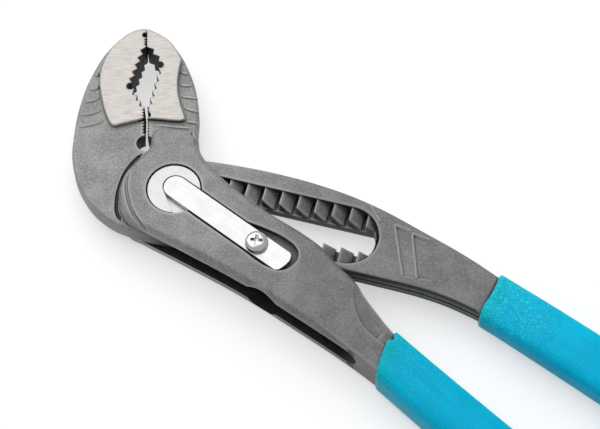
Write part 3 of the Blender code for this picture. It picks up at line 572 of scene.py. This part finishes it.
def plated(name, base, roughness, edge, stretch=(1.0, 1.0, 1.0), turn=0.0):
    """Bright plating with faint drawing lines and tiny scratches."""
    paint = Paint(name, metallic=1.0)
    lines = paint.noise(3.0, 3.0, 0.6, stretch, turn)
    clouds = paint.noise(0.25, 3.0)
    rounded, worn, shade_in_hollows = paint.edges(edge)
    skin = paint.mix(paint.spread(clouds, 0.3, 0.7), tint(base, 0.95), tint(base, 1.04))
    skin = paint.mix(paint.spread(lines, 0.4, 0.75, 0.0, 0.2), skin, tint(base, 0.85))
    # Painted shade in the gaps and corners round the plated parts
    skin = paint.coat(skin, shade_in_hollows, 0.15, tint(base, 0.35))
    skin = paint.coat(skin, worn, 0.5, tint(base, 1.1))
    normal = paint.bump(lines, 0.06, 0.02 * MM, rounded)
    return paint.done(skin, normal, paint.spread(lines, 0.2, 0.8, roughness - 0.06, roughness + 0.1))


def dipped_vinyl(name, dip, mouth, turn, pimples_and_glints, streaked):
    """Glossy vinyl with faint lengthwise runs and the pimples that dipping leaves near the mouth, with
    painted glints on the pimples.
    """
    base = dip.colour
    paint = Paint(name)
    paint.set("Specular IOR Level", 0.07)
    paint.set("Subsurface Weight", 0.8)
    paint.set("Subsurface Radius", (0.2, 1.0, 1.2))
    paint.set("Subsurface Scale", 6.0 * MM)
    pimples = paint.noise(1.3, 2.0, 0.6)
    fine = paint.noise(3.2, 2.0, 0.5)
    clouds = paint.spread(paint.noise(0.08, 3.0), 0.3, 0.7)
    runs = paint.noise(0.28, 3.0, 0.5, (0.06, 1.0, 1.0), turn)
    away = paint.node("ShaderNodeVectorMath", {0: paint.coordinates["Object"], 1: mouth},
                      operation="DISTANCE")
    near = paint.spread(away.outputs["Value"], 30.0 * MM, 5.0 * MM, 0.18 * pimples_and_glints, pimples_and_glints)
    skin = paint.mix(clouds, tint(base, 0.93), tint(base, 1.05))
    skin = paint.mix(paint.spread(runs, 0.35, 0.65, 0.0, streaked), skin, tint(base, 0.80))
    # Painted glints on the pimples near the mouth, in the paler blue, and darker speckles among them
    lights = paint.math("MULTIPLY", near, paint.spread(fine, 0.54, 0.70, 0.0, 0.75))
    pimple_glints = paint.math("MULTIPLY", near, paint.spread(pimples, 0.55, 0.66, 0.0, 0.8))
    darks = paint.math("MULTIPLY", near, paint.spread(fine, 0.46, 0.30, 0.0, 0.6))
    skin = paint.mix(paint.math("MAXIMUM", lights, pimple_glints), skin, tint(dip.pimple_glint, 1.0))
    skin = paint.mix(darks, skin, tint(base, 0.62))
    heights = paint.math("ADD", pimples, paint.math("MULTIPLY", fine, 0.5))
    normal = paint.bump(paint.math("MULTIPLY", heights, near), 0.6, 0.16 * MM)
    return paint.done(skin, normal, paint.spread(pimples, 0.3, 0.7, 0.28, 0.44))


# Levers

# Material slots of a lever, after its forged skin: the ground pads, then black scale with painted shade
GROUND, SCALE_AND_SHADE = 1, 2
# How much of a face's normal points along Z: flat faces have more than the first, walls less than the second
FLAT, UPRIGHT = 0.99, 0.3
PAD_SLACK = 0.06 * MM
# Walls of the jaw teeth: their run along the seam, their reach beside it, and their half height,
# which is less up to the end of the throat
TEETH_FROM, TEETH_TO, TEETH_REACH = -3.2 * MM, 38.5 * MM, 6.6 * MM
THROAT_END, THROAT_HALF, TEETH_HALF = 8.0 * MM, 3.6 * MM, 4.9 * MM
# Rub groove: its ring about the pivot, the corner that bounds it, and how deep its faces lie
RUB_INNER, RUB_OUTER = 16.2 * MM, 19.6 * MM
RUB_CORNER = (-12.6 * MM, -13.1 * MM)
RUB_SHALLOW, RUB_DEEP = 0.1 * MM, 1.0 * MM
# A forging's end face lies this near its grip's mouth, and is carried this much further into the grip
END_BEFORE, END_PAST, END_REACH = -0.6 * MM, 0.1 * MM, 1.6 * MM


def pad_faces(mesh):
    """Gives the ground faces of the jaws their own material, and the walls of their teeth the black of scale
    and painted shade.
    """
    foot = spot(*SEAM_FOOT)
    along = Vector((cos(SEAM_ANGLE), sin(SEAM_ANGLE)))
    heights = [height * MM for height in PAD_HEIGHTS]
    middle = sum(heights) / 2
    for face in mesh.polygons:
        if abs(face.normal.z) > FLAT:
            if min(abs(face.center.z - height) for height in heights) < PAD_SLACK:
                face.material_index = GROUND
        elif abs(face.normal.z) < UPRIGHT:
            reach = (face.center - foot).xy
            run = reach.dot(along)
            half = TEETH_HALF if run > THROAT_END else THROAT_HALF
            beside = abs(reach.cross(along)) < TEETH_REACH
            if TEETH_FROM < run < TEETH_TO and beside and abs(face.center.z - middle) < half:
                face.material_index = SCALE_AND_SHADE


def slit_faces(mesh):
    """Paints the inside of the box lever's slit, and the round relief beside it, black: painted shade, partly
    black scale.
    """
    low, high = (height * MM for height in SLIT)
    middle = (low + high) / 2
    end = spot(*SLIT_END)
    for face in mesh.polygons:
        place = face.center
        into = face.normal.z if place.z < middle else -face.normal.z
        inside = low < place.z < high or into > UPRIGHT
        if inside and place.x < end.x and place.y < end.y:
            face.material_index = SCALE_AND_SHADE


def groove_faces(mesh):
    """Paints the groove that the boss has rubbed into the slotted lever's front black, as painted shade."""
    for face in mesh.polygons:
        reach = (face.center - PIVOT).xy
        sunk = FRONT * MM - face.center.z
        beside = reach.x < RUB_CORNER[0] and reach.y > RUB_CORNER[1]
        if beside and RUB_INNER < reach.length < RUB_OUTER and RUB_SHALLOW < sunk < RUB_DEEP:
            face.material_index = SCALE_AND_SHADE


def grip_axes(shape):
    """Middle of a grip's mouth in plan, the grip's direction and its left side."""
    ahead = Vector((cos(shape.angle), sin(shape.angle), 0.0))
    left = Vector((-ahead.y, ahead.x, 0.0))
    return PIVOT + Vector((shape.start_x, shape.start_y, 0.0)), ahead, left


def reach_into(mesh, shape):
    """Carries a forging's end on into its grip, so that no gap shows at the mouth."""
    start, ahead, left = grip_axes(shape)
    for vert in mesh.vertices:
        across = (vert.co - start).dot(left)
        run = (vert.co - start).dot(ahead) - shape.slant * across
        if abs(across) < shape.width and END_BEFORE < run < END_PAST:
            vert.co += ahead * END_REACH


def on_curve(p, q, r, s, t):
    """Value at t on the way from q to r, on a soft curve that comes from p and goes on to s."""
    return 0.5 * (2 * q + (r - p) * t + (2 * p - 5 * q + 4 * r - s) * t ** 2
                  + (3 * q - p - 3 * r + s) * t ** 3)


def smooth_path(points, steps=6):
    """Soft curve through these points, with this many steps from each to the next."""
    path = []
    ends = [points[0], *points, points[-1]]
    for four in zip(ends, ends[1:], ends[2:], ends[3:]):
        for i in range(steps):
            path.append(tuple(on_curve(*values, i / steps) for values in zip(*four)))
    return path + [points[-1]]


def raised_line(points, height, width, rise, fade=1):
    """Half-round line through plan points on a face at this height. A point may add its own height.

    The line gets thinner over this many points at its ends.
    """
    last = len(points) - 1
    curve = bpy.data.curves.new("raised_line", "CURVE")
    curve.dimensions = "3D"
    curve.bevel_depth = width / 2
    curve.bevel_resolution = 3
    curve.use_fill_caps = True
    spline = curve.splines.new("POLY")
    spline.points.add(last)
    for i, (x, y, *above) in enumerate(points):
        spline.points[i].co = (*spot(x, y, *above), 1.0)
        spline.points[i].radius = min(1.0, (min(i, last - i) + 1) / fade)
    mesh = settle(piece("raised_line", curve))
    mesh.transform(Matrix.Diagonal((1.0, 1.0, 2 * rise / width, 1.0)))
    mesh.transform(Matrix.Translation((0.0, 0.0, height * MM)))
    return mesh


def lever(node, slot, materials, settings, grip, cutter):
    """Finished forging: its end carried into the grip, one line cut into it and its pads ground."""
    name = node + "_skin"
    mesh = cad_copy(node)
    reach_into(mesh, grip)
    obj = smoothed(name, carved(name, mesh, [cutter]), settings.smooth, *materials)
    pad_faces(obj.data)
    finish_piece(obj, node, slot, node)
    return obj.data


class PLIERS_OT_levers(bpy.types.Operator):
    """Finish the two forged levers with ground jaw pads"""
    bl_idname = "pliers.levers"
    bl_label = "Levers"

    def execute(self, context):
        scene = context.scene
        settings = scene.pliers_steel
        pads = ground_steel("ground_steel", settings, scene.pliers_stage.roll)
        teeth = black_scale_and_shade("black_scale_and_painted_shade", settings)
        box = forged_steel("forged_box", settings.box_colour, settings)
        slotted = forged_steel("forged_slotted", settings.slotted_colour, settings, shaded_below=True)
        crease = raised_line(smooth_path(BOSS_CREASE), 0.0, settings.crease, settings.crease / 2, fade=8)
        mesh = lever("box_lever", "forged_steel_box", (box, pads, teeth), settings,
                     scene.pliers_lower_grip, crease)
        slit_faces(mesh)
        groove = raised_line(smooth_path(RUB_LINE), RUB_MIDDLE, settings.groove, settings.groove / 2, fade=4)
        mesh = lever("slotted_lever", "forged_steel_slotted", (slotted, pads, teeth), settings,
                     scene.pliers_upper_grip, groove)
        groove_faces(mesh)
        # Steel of the small forms that stand on the levers: the lighter copies are a painted highlight on
        # their lit tops, and the slotted lever's ribs take a darker copy
        for name, base, tone in (
            ("rib_box_painted_highlight", settings.box_colour, 1.15),
            ("rib_slotted", settings.slotted_colour, 0.82),
            ("line_slotted_painted_highlight", settings.slotted_colour, 1.35),
        ):
            forged_steel(name, [tone * part for part in base], settings)
        return {"FINISHED"}


def rib_tree():
    """Geometry Nodes: one long soft rib at every point, with its own length and turn."""
    tree = bpy.data.node_groups.new("jaw_ribs", "GeometryNodeTree")
    tree.interface.new_socket("Geometry", in_out="INPUT", socket_type="NodeSocketGeometry")
    for name in ("Width", "Height", "Tilt"):
        tree.interface.new_socket(name, in_out="INPUT", socket_type="NodeSocketFloat")
    tree.interface.new_socket("Material", in_out="INPUT", socket_type="NodeSocketMaterial")
    tree.interface.new_socket("Geometry", in_out="OUTPUT", socket_type="NodeSocketGeometry")
    build = Nodes(tree)
    given = build.node("NodeGroupInput").outputs
    length, turn = (
        build.node("GeometryNodeInputNamedAttribute", {"Name": name}, data_type="FLOAT").outputs[0]
        for name in ("rib_length", "rib_turn")
    )
    ball = build.node("GeometryNodeMeshUVSphere", {"Segments": 24, "Rings": 12, "Radius": 0.5})
    scale = build.node("ShaderNodeCombineXYZ", {"X": length, "Y": given["Width"], "Z": given["Height"]})
    lean = build.node("ShaderNodeCombineXYZ", {"X": given["Tilt"], "Z": turn})
    instance = build.node("GeometryNodeInstanceOnPoints", {
        "Points": given["Geometry"], "Instance": ball.outputs["Mesh"],
        "Rotation": lean.outputs[0], "Scale": scale.outputs[0],
    })
    real = build.node("GeometryNodeRealizeInstances", {0: instance.outputs[0]})
    smooth = build.node("GeometryNodeSetShadeSmooth", {0: real.outputs[0]})
    paint = build.node("GeometryNodeSetMaterial", {"Geometry": smooth.outputs[0],
                                                   "Material": given["Material"]})
    build.node("NodeGroupOutput", {0: paint.outputs[0]})
    return tree


def ribs(name, tree, marks, width, rise, tilt, material):
    """Ribs at (x, y, length, turn in degrees), their middles at one height."""
    mesh = bpy.data.meshes.new(name)
    mesh.from_pydata([spot(x, y, RIB_MIDDLE) for x, y, length, turn in marks], [], [])
    lengths = mesh.attributes.new("rib_length", "FLOAT", "POINT")
    lengths.data.foreach_set("value", [length * MM for x, y, length, turn in marks])
    turns = mesh.attributes.new("rib_turn", "FLOAT", "POINT")
    turns.data.foreach_set("value", [radians(turn) for x, y, length, turn in marks])
    obj = piece(name, mesh)
    step = obj.modifiers.new("ribs", "NODES")
    step.node_group = tree
    values = {"Width": width, "Height": 2 * rise, "Tilt": tilt, "Material": material}
    for item in tree.interface.items_tree:
        if item.name in values:
            step[item.identifier] = values[item.name]
    return piece(name, settle(obj), material)


class PLIERS_OT_jaw_ribs(bpy.types.Operator):
    """Add the ribs beside the jaw pads"""
    bl_idname = "pliers.jaw_ribs"
    bl_label = "Jaw ribs"

    def execute(self, context):
        settings = context.scene.pliers_ribs
        tree = rib_tree()
        obj = ribs("left_jaw_ribs", tree, LEFT_RIBS, settings.left_width, settings.left_height,
                   settings.left_tilt, bpy.data.materials["rib_slotted"])
        finish_piece(obj, "slotted_lever", "forged_steel_slotted")
        # The box lever's ribs take the lighter steel, a painted highlight on their lit tops
        obj = ribs("right_jaw_ribs", tree, RIGHT_RIBS, settings.right_width, settings.right_height,
                   settings.right_tilt, bpy.data.materials["rib_box_painted_highlight"])
        finish_piece(obj, "box_lever", "forged_steel_box")
        return {"FINISHED"}


def joined(name, meshes, limit, material):
    """One piece from several meshes, which are used up."""
    work = bmesh.new()
    for mesh in meshes:
        work.from_mesh(mesh)
        bpy.data.meshes.remove(mesh)
    bmesh.ops.remove_doubles(work, verts=work.verts, dist=MERGE_FINE)
    made = mesh_from(work, name)
    shade(made, limit)
    return piece(name, made, bpy.data.materials[material])


class PLIERS_OT_forging_marks(bpy.types.Operator):
    """Add the raised forging lines, the jaw's ridge and the neck's burr"""
    bl_idname = "pliers.forging_marks"
    bl_label = "Forging marks"

    def execute(self, context):
        settings = context.scene.pliers_marks
        limit = context.scene.pliers_steel.smooth
        # The raised lines, the ridge and the burr take the lighter copies of the steel: painted highlight
        lines = [raised_line(line, FRONT, settings.width, settings.height) for line in HANDLE_LINES]
        obj = joined("forging_marks", lines, limit, "line_slotted_painted_highlight")
        finish_piece(obj, "slotted_lever", "forged_steel_slotted")
        ridge = raised_line(smooth_path(JAW_RIDGE), FRONT, settings.ridge_width, settings.ridge_height,
                            fade=6)
        burr = raised_line(smooth_path(NECK_BURR, 4), FRONT, settings.burr, settings.burr / 2)
        obj = joined("neck_marks", [ridge, burr], limit, "rib_box_painted_highlight")
        finish_piece(obj, "box_lever", "forged_steel_box")
        return {"FINISHED"}


# Bolt, bush, leaf spring and screw

FITTING_EDGE = 0.2 * MM
SCREW_EDGE = 0.15 * MM
LEAF_SMOOTH, SCREW_SMOOTH = radians(40.0), radians(35.0)
CROSS_TURNS = (radians(8.0), radians(98.0))
# Length of the leaf spring, from the pivot, that is cut into bending steps
LEAF_BENDING = 36.0 * MM


def plain_copy(node, slot, material, limit):
    """A CAD node's own shape on its own body, smoothly shaded."""
    obj = smoothed(node + "_skin", cad_copy(node), limit, material)
    finish_piece(obj, node, slot, node)


class PLIERS_OT_bolt(bpy.types.Operator):
    """Finish the toothed pivot bolt and the bush it slides in"""
    bl_idname = "pliers.bolt"
    bl_label = "Bolt and bush"

    def execute(self, context):
        settings = context.scene.pliers_fittings
        limit = context.scene.pliers_steel.smooth
        bright = plated("plated_bolt", settings.bolt_plating, roughness=0.30, edge=FITTING_EDGE,
                        stretch=(0.3, 1.0, 1.0), turn=0.6)
        hard = plated("hardened_bush", settings.hardened, roughness=0.40, edge=FITTING_EDGE,
                      stretch=(1.0, 1.0, 0.2))
        plain_copy("toothed_bolt", "bright_bolt", bright, limit)
        plain_copy("slide_bush", "hardened_bush", hard, limit)
        return {"FINISHED"}


def leaf_outline(width, tail):
    """Plan of the leaf spring in millimetres: round nose on the pivot, blunt tail with soft corners."""
    half = width / 2
    nose = [(half * cos(radians(a)), half * sin(radians(a))) for a in range(90, 271, 6)]
    return nose + [(tail - 1.8, -half), (tail - 0.7, -half + 1.0), (tail - 0.1, -half + 3.4),
                   (tail, half - 2.2), (tail - 0.5, half - 0.8), (tail - 1.4, half)]


def rounded_plate(name, outline, low, high, rounding):
    """Flat plate with rounded edges: its outline in millimetres, its heights and rounding in metres."""
    curve = bpy.data.curves.new(name, "CURVE")
    curve.dimensions = "2D"
    curve.fill_mode = "BOTH"
    curve.extrude = (high - low) / 2 - rounding
    curve.bevel_depth = rounding
    curve.bevel_resolution = 3
    curve.offset = -rounding
    spline = curve.splines.new("POLY")
    spline.points.add(len(outline) - 1)
    for knot, (x, y) in zip(spline.points, outline):
        knot.co = (x * MM, y * MM, 0.0, 1.0)
    spline.use_cyclic_u = True
    mesh = settle(piece(name, curve))
    mesh.transform(Matrix.Translation((0.0, 0.0, (low + high) / 2)))
    return mesh


def cut_in_steps(mesh, length, step):
    """Cuts a plate across at even steps along X, so that it can bend, and merges the slivers."""
    work = bmesh.new()
    work.from_mesh(mesh)
    bmesh.ops.remove_doubles(work, verts=work.verts, dist=MERGE)
    for i in range(int(length / step)):
        bmesh.ops.bisect_plane(work, geom=work.verts[:] + work.edges[:] + work.faces[:],
                               plane_co=(i * step, 0.0, 0.0), plane_no=(1.0, 0.0, 0.0))
    bmesh.ops.remove_doubles(work, verts=work.verts, dist=MERGE_SLIVERS)
    bmesh.ops.dissolve_degenerate(work, edges=work.edges, dist=MERGE)
    bmesh.ops.recalc_face_normals(work, faces=work.faces)
    work.to_mesh(mesh)
    work.free()


class PLIERS_OT_leaf_spring(bpy.types.Operator):
    """Make the leaf spring, which lies between its screw and the bolt"""
    bl_idname = "pliers.leaf_spring"
    bl_label = "Leaf spring"

    def execute(self, context):
        settings = context.scene.pliers_fittings
        low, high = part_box("leaf_spring")
        outline = leaf_outline(settings.leaf_width / MM, settings.leaf_tail / MM)
        mesh = rounded_plate("leaf", outline, low.z, high.z, settings.leaf_round)
        cut_in_steps(mesh, LEAF_BENDING, settings.leaf_step)
        turn = Vector((1.0, 0.0)).angle_signed(LEAF_ALONG.xy)
        aside = Matrix.Translation((0.0, settings.leaf_side, 0.0))
        mesh.transform(Matrix.Translation((PIVOT.x, PIVOT.y, 0.0)) @ Matrix.Rotation(-turn, 4, "Z") @ aside)
        bright = plated("plated_leaf", settings.leaf_plating, roughness=0.26, edge=FITTING_EDGE,
                        stretch=(0.04, 1.0, 1.0), turn=-turn)
        obj = smoothed("leaf_spring_skin", mesh, LEAF_SMOOTH, bright)
        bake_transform(obj)
        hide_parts("leaf_spring")
        return {"FINISHED"}


def cross_recess(settings, top):
    """Cutters for a cross drive whose arms get shorter and narrower towards the bottom."""
    bottom_length, bottom_width, above = 0.45, 0.7, 0.15
    depth = settings.drive_depth
    meshes = []
    for turn in CROSS_TURNS:
        work = bmesh.new()
        bmesh.ops.create_cube(work, size=1.0)
        for vert in work.verts:
            below = vert.co.z < 0
            vert.co = (vert.co.x * settings.drive * (bottom_length if below else 1.0),
                       vert.co.y * settings.drive_width * (bottom_width if below else 1.0),
                       top - depth if below else top + depth * above)
        blade = mesh_from(work, "blade")
        blade.transform(Matrix.Rotation(turn, 4, "Z"))
        meshes.append(blade)
    return meshes


def screw_profile(settings, radius, low, high):
    """Half section of a pan head screw, as (distance from the axis, height)."""
    seat = high - settings.head
    shank = 0.55 * radius
    fullness = 0.8
    profile = [(0.0, high)]
    for turned in range(10, 91, 10):
        dome = (settings.head - settings.rim) * cos(radians(turned)) ** fullness
        profile.append((radius * sin(radians(turned)), seat + settings.rim + dome))
    return profile + [(radius, seat + SCREW_EDGE), (radius - SCREW_EDGE, seat), (shank, seat),
                      (shank, low), (0.0, low)]


class PLIERS_OT_spring_screw(bpy.types.Operator):
    """Make the pan head screw that holds the leaf spring"""
    bl_idname = "pliers.spring_screw"
    bl_label = "Spring screw"

    def execute(self, context):
        settings = context.scene.pliers_fittings
        low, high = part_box("spring_screw")
        middle = (low + high) / 2
        work = bmesh.new()
        profile = screw_profile(settings, (high.x - low.x) / 2, low.z, high.z)
        verts = [work.verts.new((r, 0.0, z)) for r, z in profile]
        edges = [work.edges.new(pair) for pair in zip(verts, verts[1:])]
        bmesh.ops.spin(work, geom=verts + edges, axis=(0.0, 0.0, 1.0), cent=(0.0, 0.0, 0.0),
                       angle=2 * pi, steps=settings.screw_sides, use_merge=True)
        bmesh.ops.remove_doubles(work, verts=work.verts, dist=MERGE_FINE)
        bmesh.ops.recalc_face_normals(work, faces=work.faces)
        mesh = carved("spring_screw_skin", mesh_from(work, "screw"), cross_recess(settings, high.z))
        mesh.transform(Matrix.Translation((middle.x, middle.y, 0.0)))
        shade(mesh, SCREW_SMOOTH)
        bright = plated("plated_screw", settings.screw_plating, roughness=0.18, edge=SCREW_EDGE)
        obj = piece("spring_screw_skin", mesh, bright)
        finish_piece(obj, "box_lever", "bright_screw", "spring_screw")
        return {"FINISHED"}


# Grips

# The vinyl clears the CAD grip's width by this, and the steel inside its mouth
TIGHT = 0.1 * MM
GRIP_SMOOTH = radians(60.0)
LIP_STEPS, DOME_STEPS = 5, 12
# A little more than the dome's steps, so that its last ring stays open for the end face
DOME_QUARTER = 12.4


def ease(value):
    """Smooth step from 0 to 1."""
    value = min(max(value, 0.0), 1.0)
    return value * value * (3.0 - 2.0 * value)


def squared(value, power):
    """Coordinate of a round section, pushed out towards a square one."""
    return abs(value) ** power * (1 if value > 0 else -1)


def mouth_step(steps, across):
    """Offset of a grip's mouth at this distance across, from (across, offset) steps."""
    for (a, first), (b, second) in zip(steps, steps[1:]):
        if a <= across <= b:
            return first + (second - first) * (across - a) / (b - a)
    return steps[0][1] if across < steps[0][0] else steps[-1][1]


def grip_sections(shape, dip):
    """Sections of a grip from inside its mouth to its far end: (distance, width, thickness, slant, rag)."""
    wide = shape.mouth + 2 * dip.wall
    deep = max(shape.mouth_thick + 2 * dip.wall, shape.thick - dip.wall / 2)
    soft = 2 * (dip.wall - dip.lip)
    rows = [(distance, shape.mouth + room, shape.mouth_thick + room, shape.slant, 1.0)
            for distance, room in ((dip.inside, TIGHT), (0.2 * MM, TIGHT), (0.0, 4 * TIGHT))]
    for i in range(LIP_STEPS + 1):
        turn = pi / 2 * i / LIP_STEPS
        thinner = soft - soft * sin(turn)
        rows.append((dip.lip_length * (1.0 - cos(turn)), wide - thinner, deep - thinner, shape.slant, 1.0))
    body = shape.length - dip.dome
    start = dip.lip_length
    for i in range(1, dip.rings + 1):
        distance = start + (body - start) * i / dip.rings
        swell = ease((distance - start) / (dip.swell - start))
        rows.append((distance, wide + (shape.width - wide) * swell, deep + (shape.thick - deep) * swell,
                     shape.slant * (1.0 - swell), max(0.0, 1.0 - distance / dip.ragged_length)))
    for i in range(1, DOME_STEPS + 1):
        turn = pi / 2 * i / DOME_QUARTER
        rows.append((body + (dip.dome - TIGHT) * sin(turn), shape.width * cos(turn),
                     shape.thick * cos(turn), 0.0, 0.0))
    return rows


def grip_mesh(name, shape, dip, steps, seed):
    """Closed skin through a grip's sections, with a ragged mouth and a slightly uneven surface."""
    start, ahead, left = grip_axes(shape)
    low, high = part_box("box_lever")
    middle = (high.z + low.z) / 2
    # Unevenness: bumps round the mouth, and length and breadth of the waves in the surface
    mouth_bumps, wave_length, wave_breadth = 3.1, 9.0 * MM, 6.0 * MM
    work = bmesh.new()
    rings = []
    for distance, wide, thick, slant, rag in grip_sections(shape, dip):
        ring = []
        for i in range(dip.sides):
            turn = 2 * pi * (i + 0.5) / dip.sides
            across = squared(cos(turn), dip.square) * (wide - TIGHT) / 2
            up = squared(sin(turn), dip.square) * thick / 2
            round_mouth = Vector((mouth_bumps * cos(turn), mouth_bumps * sin(turn), seed))
            uneven = noise.noise(round_mouth) * dip.ragged + mouth_step(steps, across / MM) * MM
            run = distance + slant * across + uneven * rag
            drift = shape.bow * (max(run, 0.0) / shape.length) ** 2
            place = start + ahead * run + left * (across + drift)
            if rag < 1.0 and distance > 0:
                skin = Vector((run / wave_length, across / wave_breadth, up / wave_breadth + seed))
                up *= 1.0 - (0.5 + 0.5 * noise.noise(skin)) * dip.sag / (thick / 2)
            ring.append(work.verts.new((place.x, place.y, middle + up)))
        rings.append(ring)
    for one, two in zip(rings, rings[1:]):
        for i in range(dip.sides):
            j = (i + 1) % dip.sides
            work.faces.new((one[i], one[j], two[j], two[i]))
    work.faces.new(rings[0])
    work.faces.new(rings[-1])
    bmesh.ops.recalc_face_normals(work, faces=work.faces)
    mesh = mesh_from(work, name)
    shade(mesh, GRIP_SMOOTH)
    return mesh


class PLIERS_OT_grips(bpy.types.Operator):
    """Make the two dipped grips with their ragged mouths"""
    bl_idname = "pliers.grips"
    bl_label = "Grips"

    def execute(self, context):
        dip = context.scene.pliers_dip
        for node, body, slot, shape, steps, seed, pimples_and_glints, streaked in (
            ("upper_grip", "slotted_lever", "dipped_upper",
             context.scene.pliers_upper_grip, UPPER_MOUTH, 3.7, 1.0, 0.4),
            ("lower_grip", "box_lever", "dipped_lower",
             context.scene.pliers_lower_grip, LOWER_MOUTH, 11.3, 0.4, 0.8),
        ):
            name = node + "_skin"
            mouth = PIVOT + Vector((shape.start_x, shape.start_y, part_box(node)[1].z))
            vinyl = dipped_vinyl("vinyl_" + node, dip, mouth, shape.angle, pimples_and_glints, streaked)
            obj = piece(name, grip_mesh(name, shape, dip, steps, seed), vinyl)
            finish_piece(obj, body, slot, node)
        return {"FINISHED"}


# Stage

FLOOR_REACH = 3.0
FLOOR_GAP = 0.2 * MM
# The room's light grows between these shares of the bright side's direction
ROOM_DIM, ROOM_BRIGHT = -0.6, 0.9


def lay_floor(settings):
    """Pale floor just under the tool, brighter to the camera and in mirrors than to its surroundings."""
    work = bmesh.new()
    bmesh.ops.create_grid(work, x_segments=1, y_segments=1, size=FLOOR_REACH)
    mesh = mesh_from(work, "floor")
    mesh.transform(Matrix.Translation((0.0, 0.0, CAD_BOX[0].z - FLOOR_GAP)))
    paint = Paint("floor", roughness=0.9)
    paint.set("Specular IOR Level", 0.0)
    paint.set("Emission Color", WHITE)
    path = paint.node("ShaderNodeLightPath").outputs
    seen = paint.math("MAXIMUM", path["Is Camera Ray"], path["Is Glossy Ray"])
    paint.set("Emission Strength", paint.math("MULTIPLY", seen, settings.glow))
    base = paint.mix(seen, tint(settings.floor, settings.bounce), tint(settings.floor, 1.0))
    piece("floor", mesh, paint.done(base))


def light_room(scene, settings):
    """White room with a bright and a dim side, in which metal mirrors a least light."""
    world = bpy.data.worlds.new("studio")
    scene.world = world
    world.use_nodes = True
    build = Nodes(world.node_tree)
    path = build.node("ShaderNodeLightPath").outputs
    place = build.node("ShaderNodeTexCoord").outputs["Generated"]
    side = build.dot(place, Vector(settings.bright_side).normalized())
    room = build.spread(side, ROOM_DIM, ROOM_BRIGHT, settings.fill, settings.ambient, "LINEAR")
    mirrored = build.math("MULTIPLY", path["Is Glossy Ray"], settings.mirrored)
    lit = build.math("MAXIMUM", room, mirrored)
    back = world.node_tree.nodes["Background"].inputs
    build.feed(back["Color"], WHITE)
    build.feed(back["Strength"], build.math("MAXIMUM", path["Is Camera Ray"], lit))


def hang_key(scene, settings):
    """Large soft light that faces the tool."""
    light = bpy.data.lights.new("key", "AREA")
    light.energy = settings.key
    light.size = settings.key_size
    lamp = bpy.data.objects.new("key", light)
    side = Vector(settings.key_side).normalized()
    lamp.location = side * settings.key_away
    lamp.rotation_euler = side.to_track_quat("Z", "Y").to_euler()
    scene.collection.objects.link(lamp)


def place_camera(scene, settings):
    """Camera at the photograph's viewing angle."""
    lens = bpy.data.cameras.new("camera")
    lens.lens = settings.lens
    lens.sensor_width = 36.0
    lens.clip_start = 0.01
    camera = bpy.data.objects.new("camera", lens)
    ahead = Vector(settings.ahead).normalized()
    right = Vector((cos(settings.roll), sin(settings.roll), 0.0))
    up = right.cross(ahead)
    turn = Matrix((right, up, -ahead)).transposed().to_4x4()
    camera.matrix_world = Matrix.Translation(settings.camera) @ turn
    scene.collection.objects.link(camera)
    scene.camera = camera


class PLIERS_OT_stage(bpy.types.Operator):
    """Set up the floor, the light and the camera"""
    bl_idname = "pliers.stage"
    bl_label = "Stage"

    def execute(self, context):
        scene = context.scene
        settings = scene.pliers_stage
        lay_floor(settings)
        light_room(scene, settings)
        hang_key(scene, settings)
        place_camera(scene, settings)
        scene.view_settings.view_transform = "Standard"
        return {"FINISHED"}


class PLIERS_PT_looks(bpy.types.Panel):
    """Lists the steps that build the looks, and their settings"""
    bl_idname = "PLIERS_PT_looks"
    bl_label = "Pliers looks"
    bl_space_type = "VIEW_3D"
    bl_region_type = "UI"
    bl_category = "Pliers"

    def draw(self, context):
        for step in STEPS:
            self.layout.operator(step.bl_idname)
        for name, kind in SETTINGS.items():
            box = self.layout.box()
            box.label(text=kind.__doc__)
            for field in kind.__annotations__:
                box.prop(getattr(context.scene, name), field)


SETTINGS = {
    "pliers_steel": SteelSettings,
    "pliers_ribs": RibSettings,
    "pliers_marks": MarkSettings,
    "pliers_fittings": FittingSettings,
    "pliers_upper_grip": UpperGripSettings,
    "pliers_lower_grip": LowerGripSettings,
    "pliers_dip": DipSettings,
    "pliers_stage": StageSettings,
}
STEPS = (
    PLIERS_OT_levers,
    PLIERS_OT_jaw_ribs,
    PLIERS_OT_forging_marks,
    PLIERS_OT_bolt,
    PLIERS_OT_leaf_spring,
    PLIERS_OT_spring_screw,
    PLIERS_OT_grips,
    PLIERS_OT_stage,
)
CLASSES = (*SETTINGS.values(), *STEPS, PLIERS_PT_looks)


def register():
    for kind in CLASSES:
        bpy.utils.register_class(kind)
    for name, kind in SETTINGS.items():
        setattr(bpy.types.Scene, name, PointerProperty(type=kind))


def unregister():
    for name in SETTINGS:
        delattr(bpy.types.Scene, name)
    for kind in reversed(CLASSES):
        bpy.utils.unregister_class(kind)


def main():
    register()
    bpy.ops.pliers.levers()
    bpy.ops.pliers.jaw_ribs()
    bpy.ops.pliers.forging_marks()
    bpy.ops.pliers.bolt()
    bpy.ops.pliers.leaf_spring()
    bpy.ops.pliers.spring_screw()
    bpy.ops.pliers.grips()
    bpy.ops.pliers.stage()


if __name__ == "__main__":
    main()
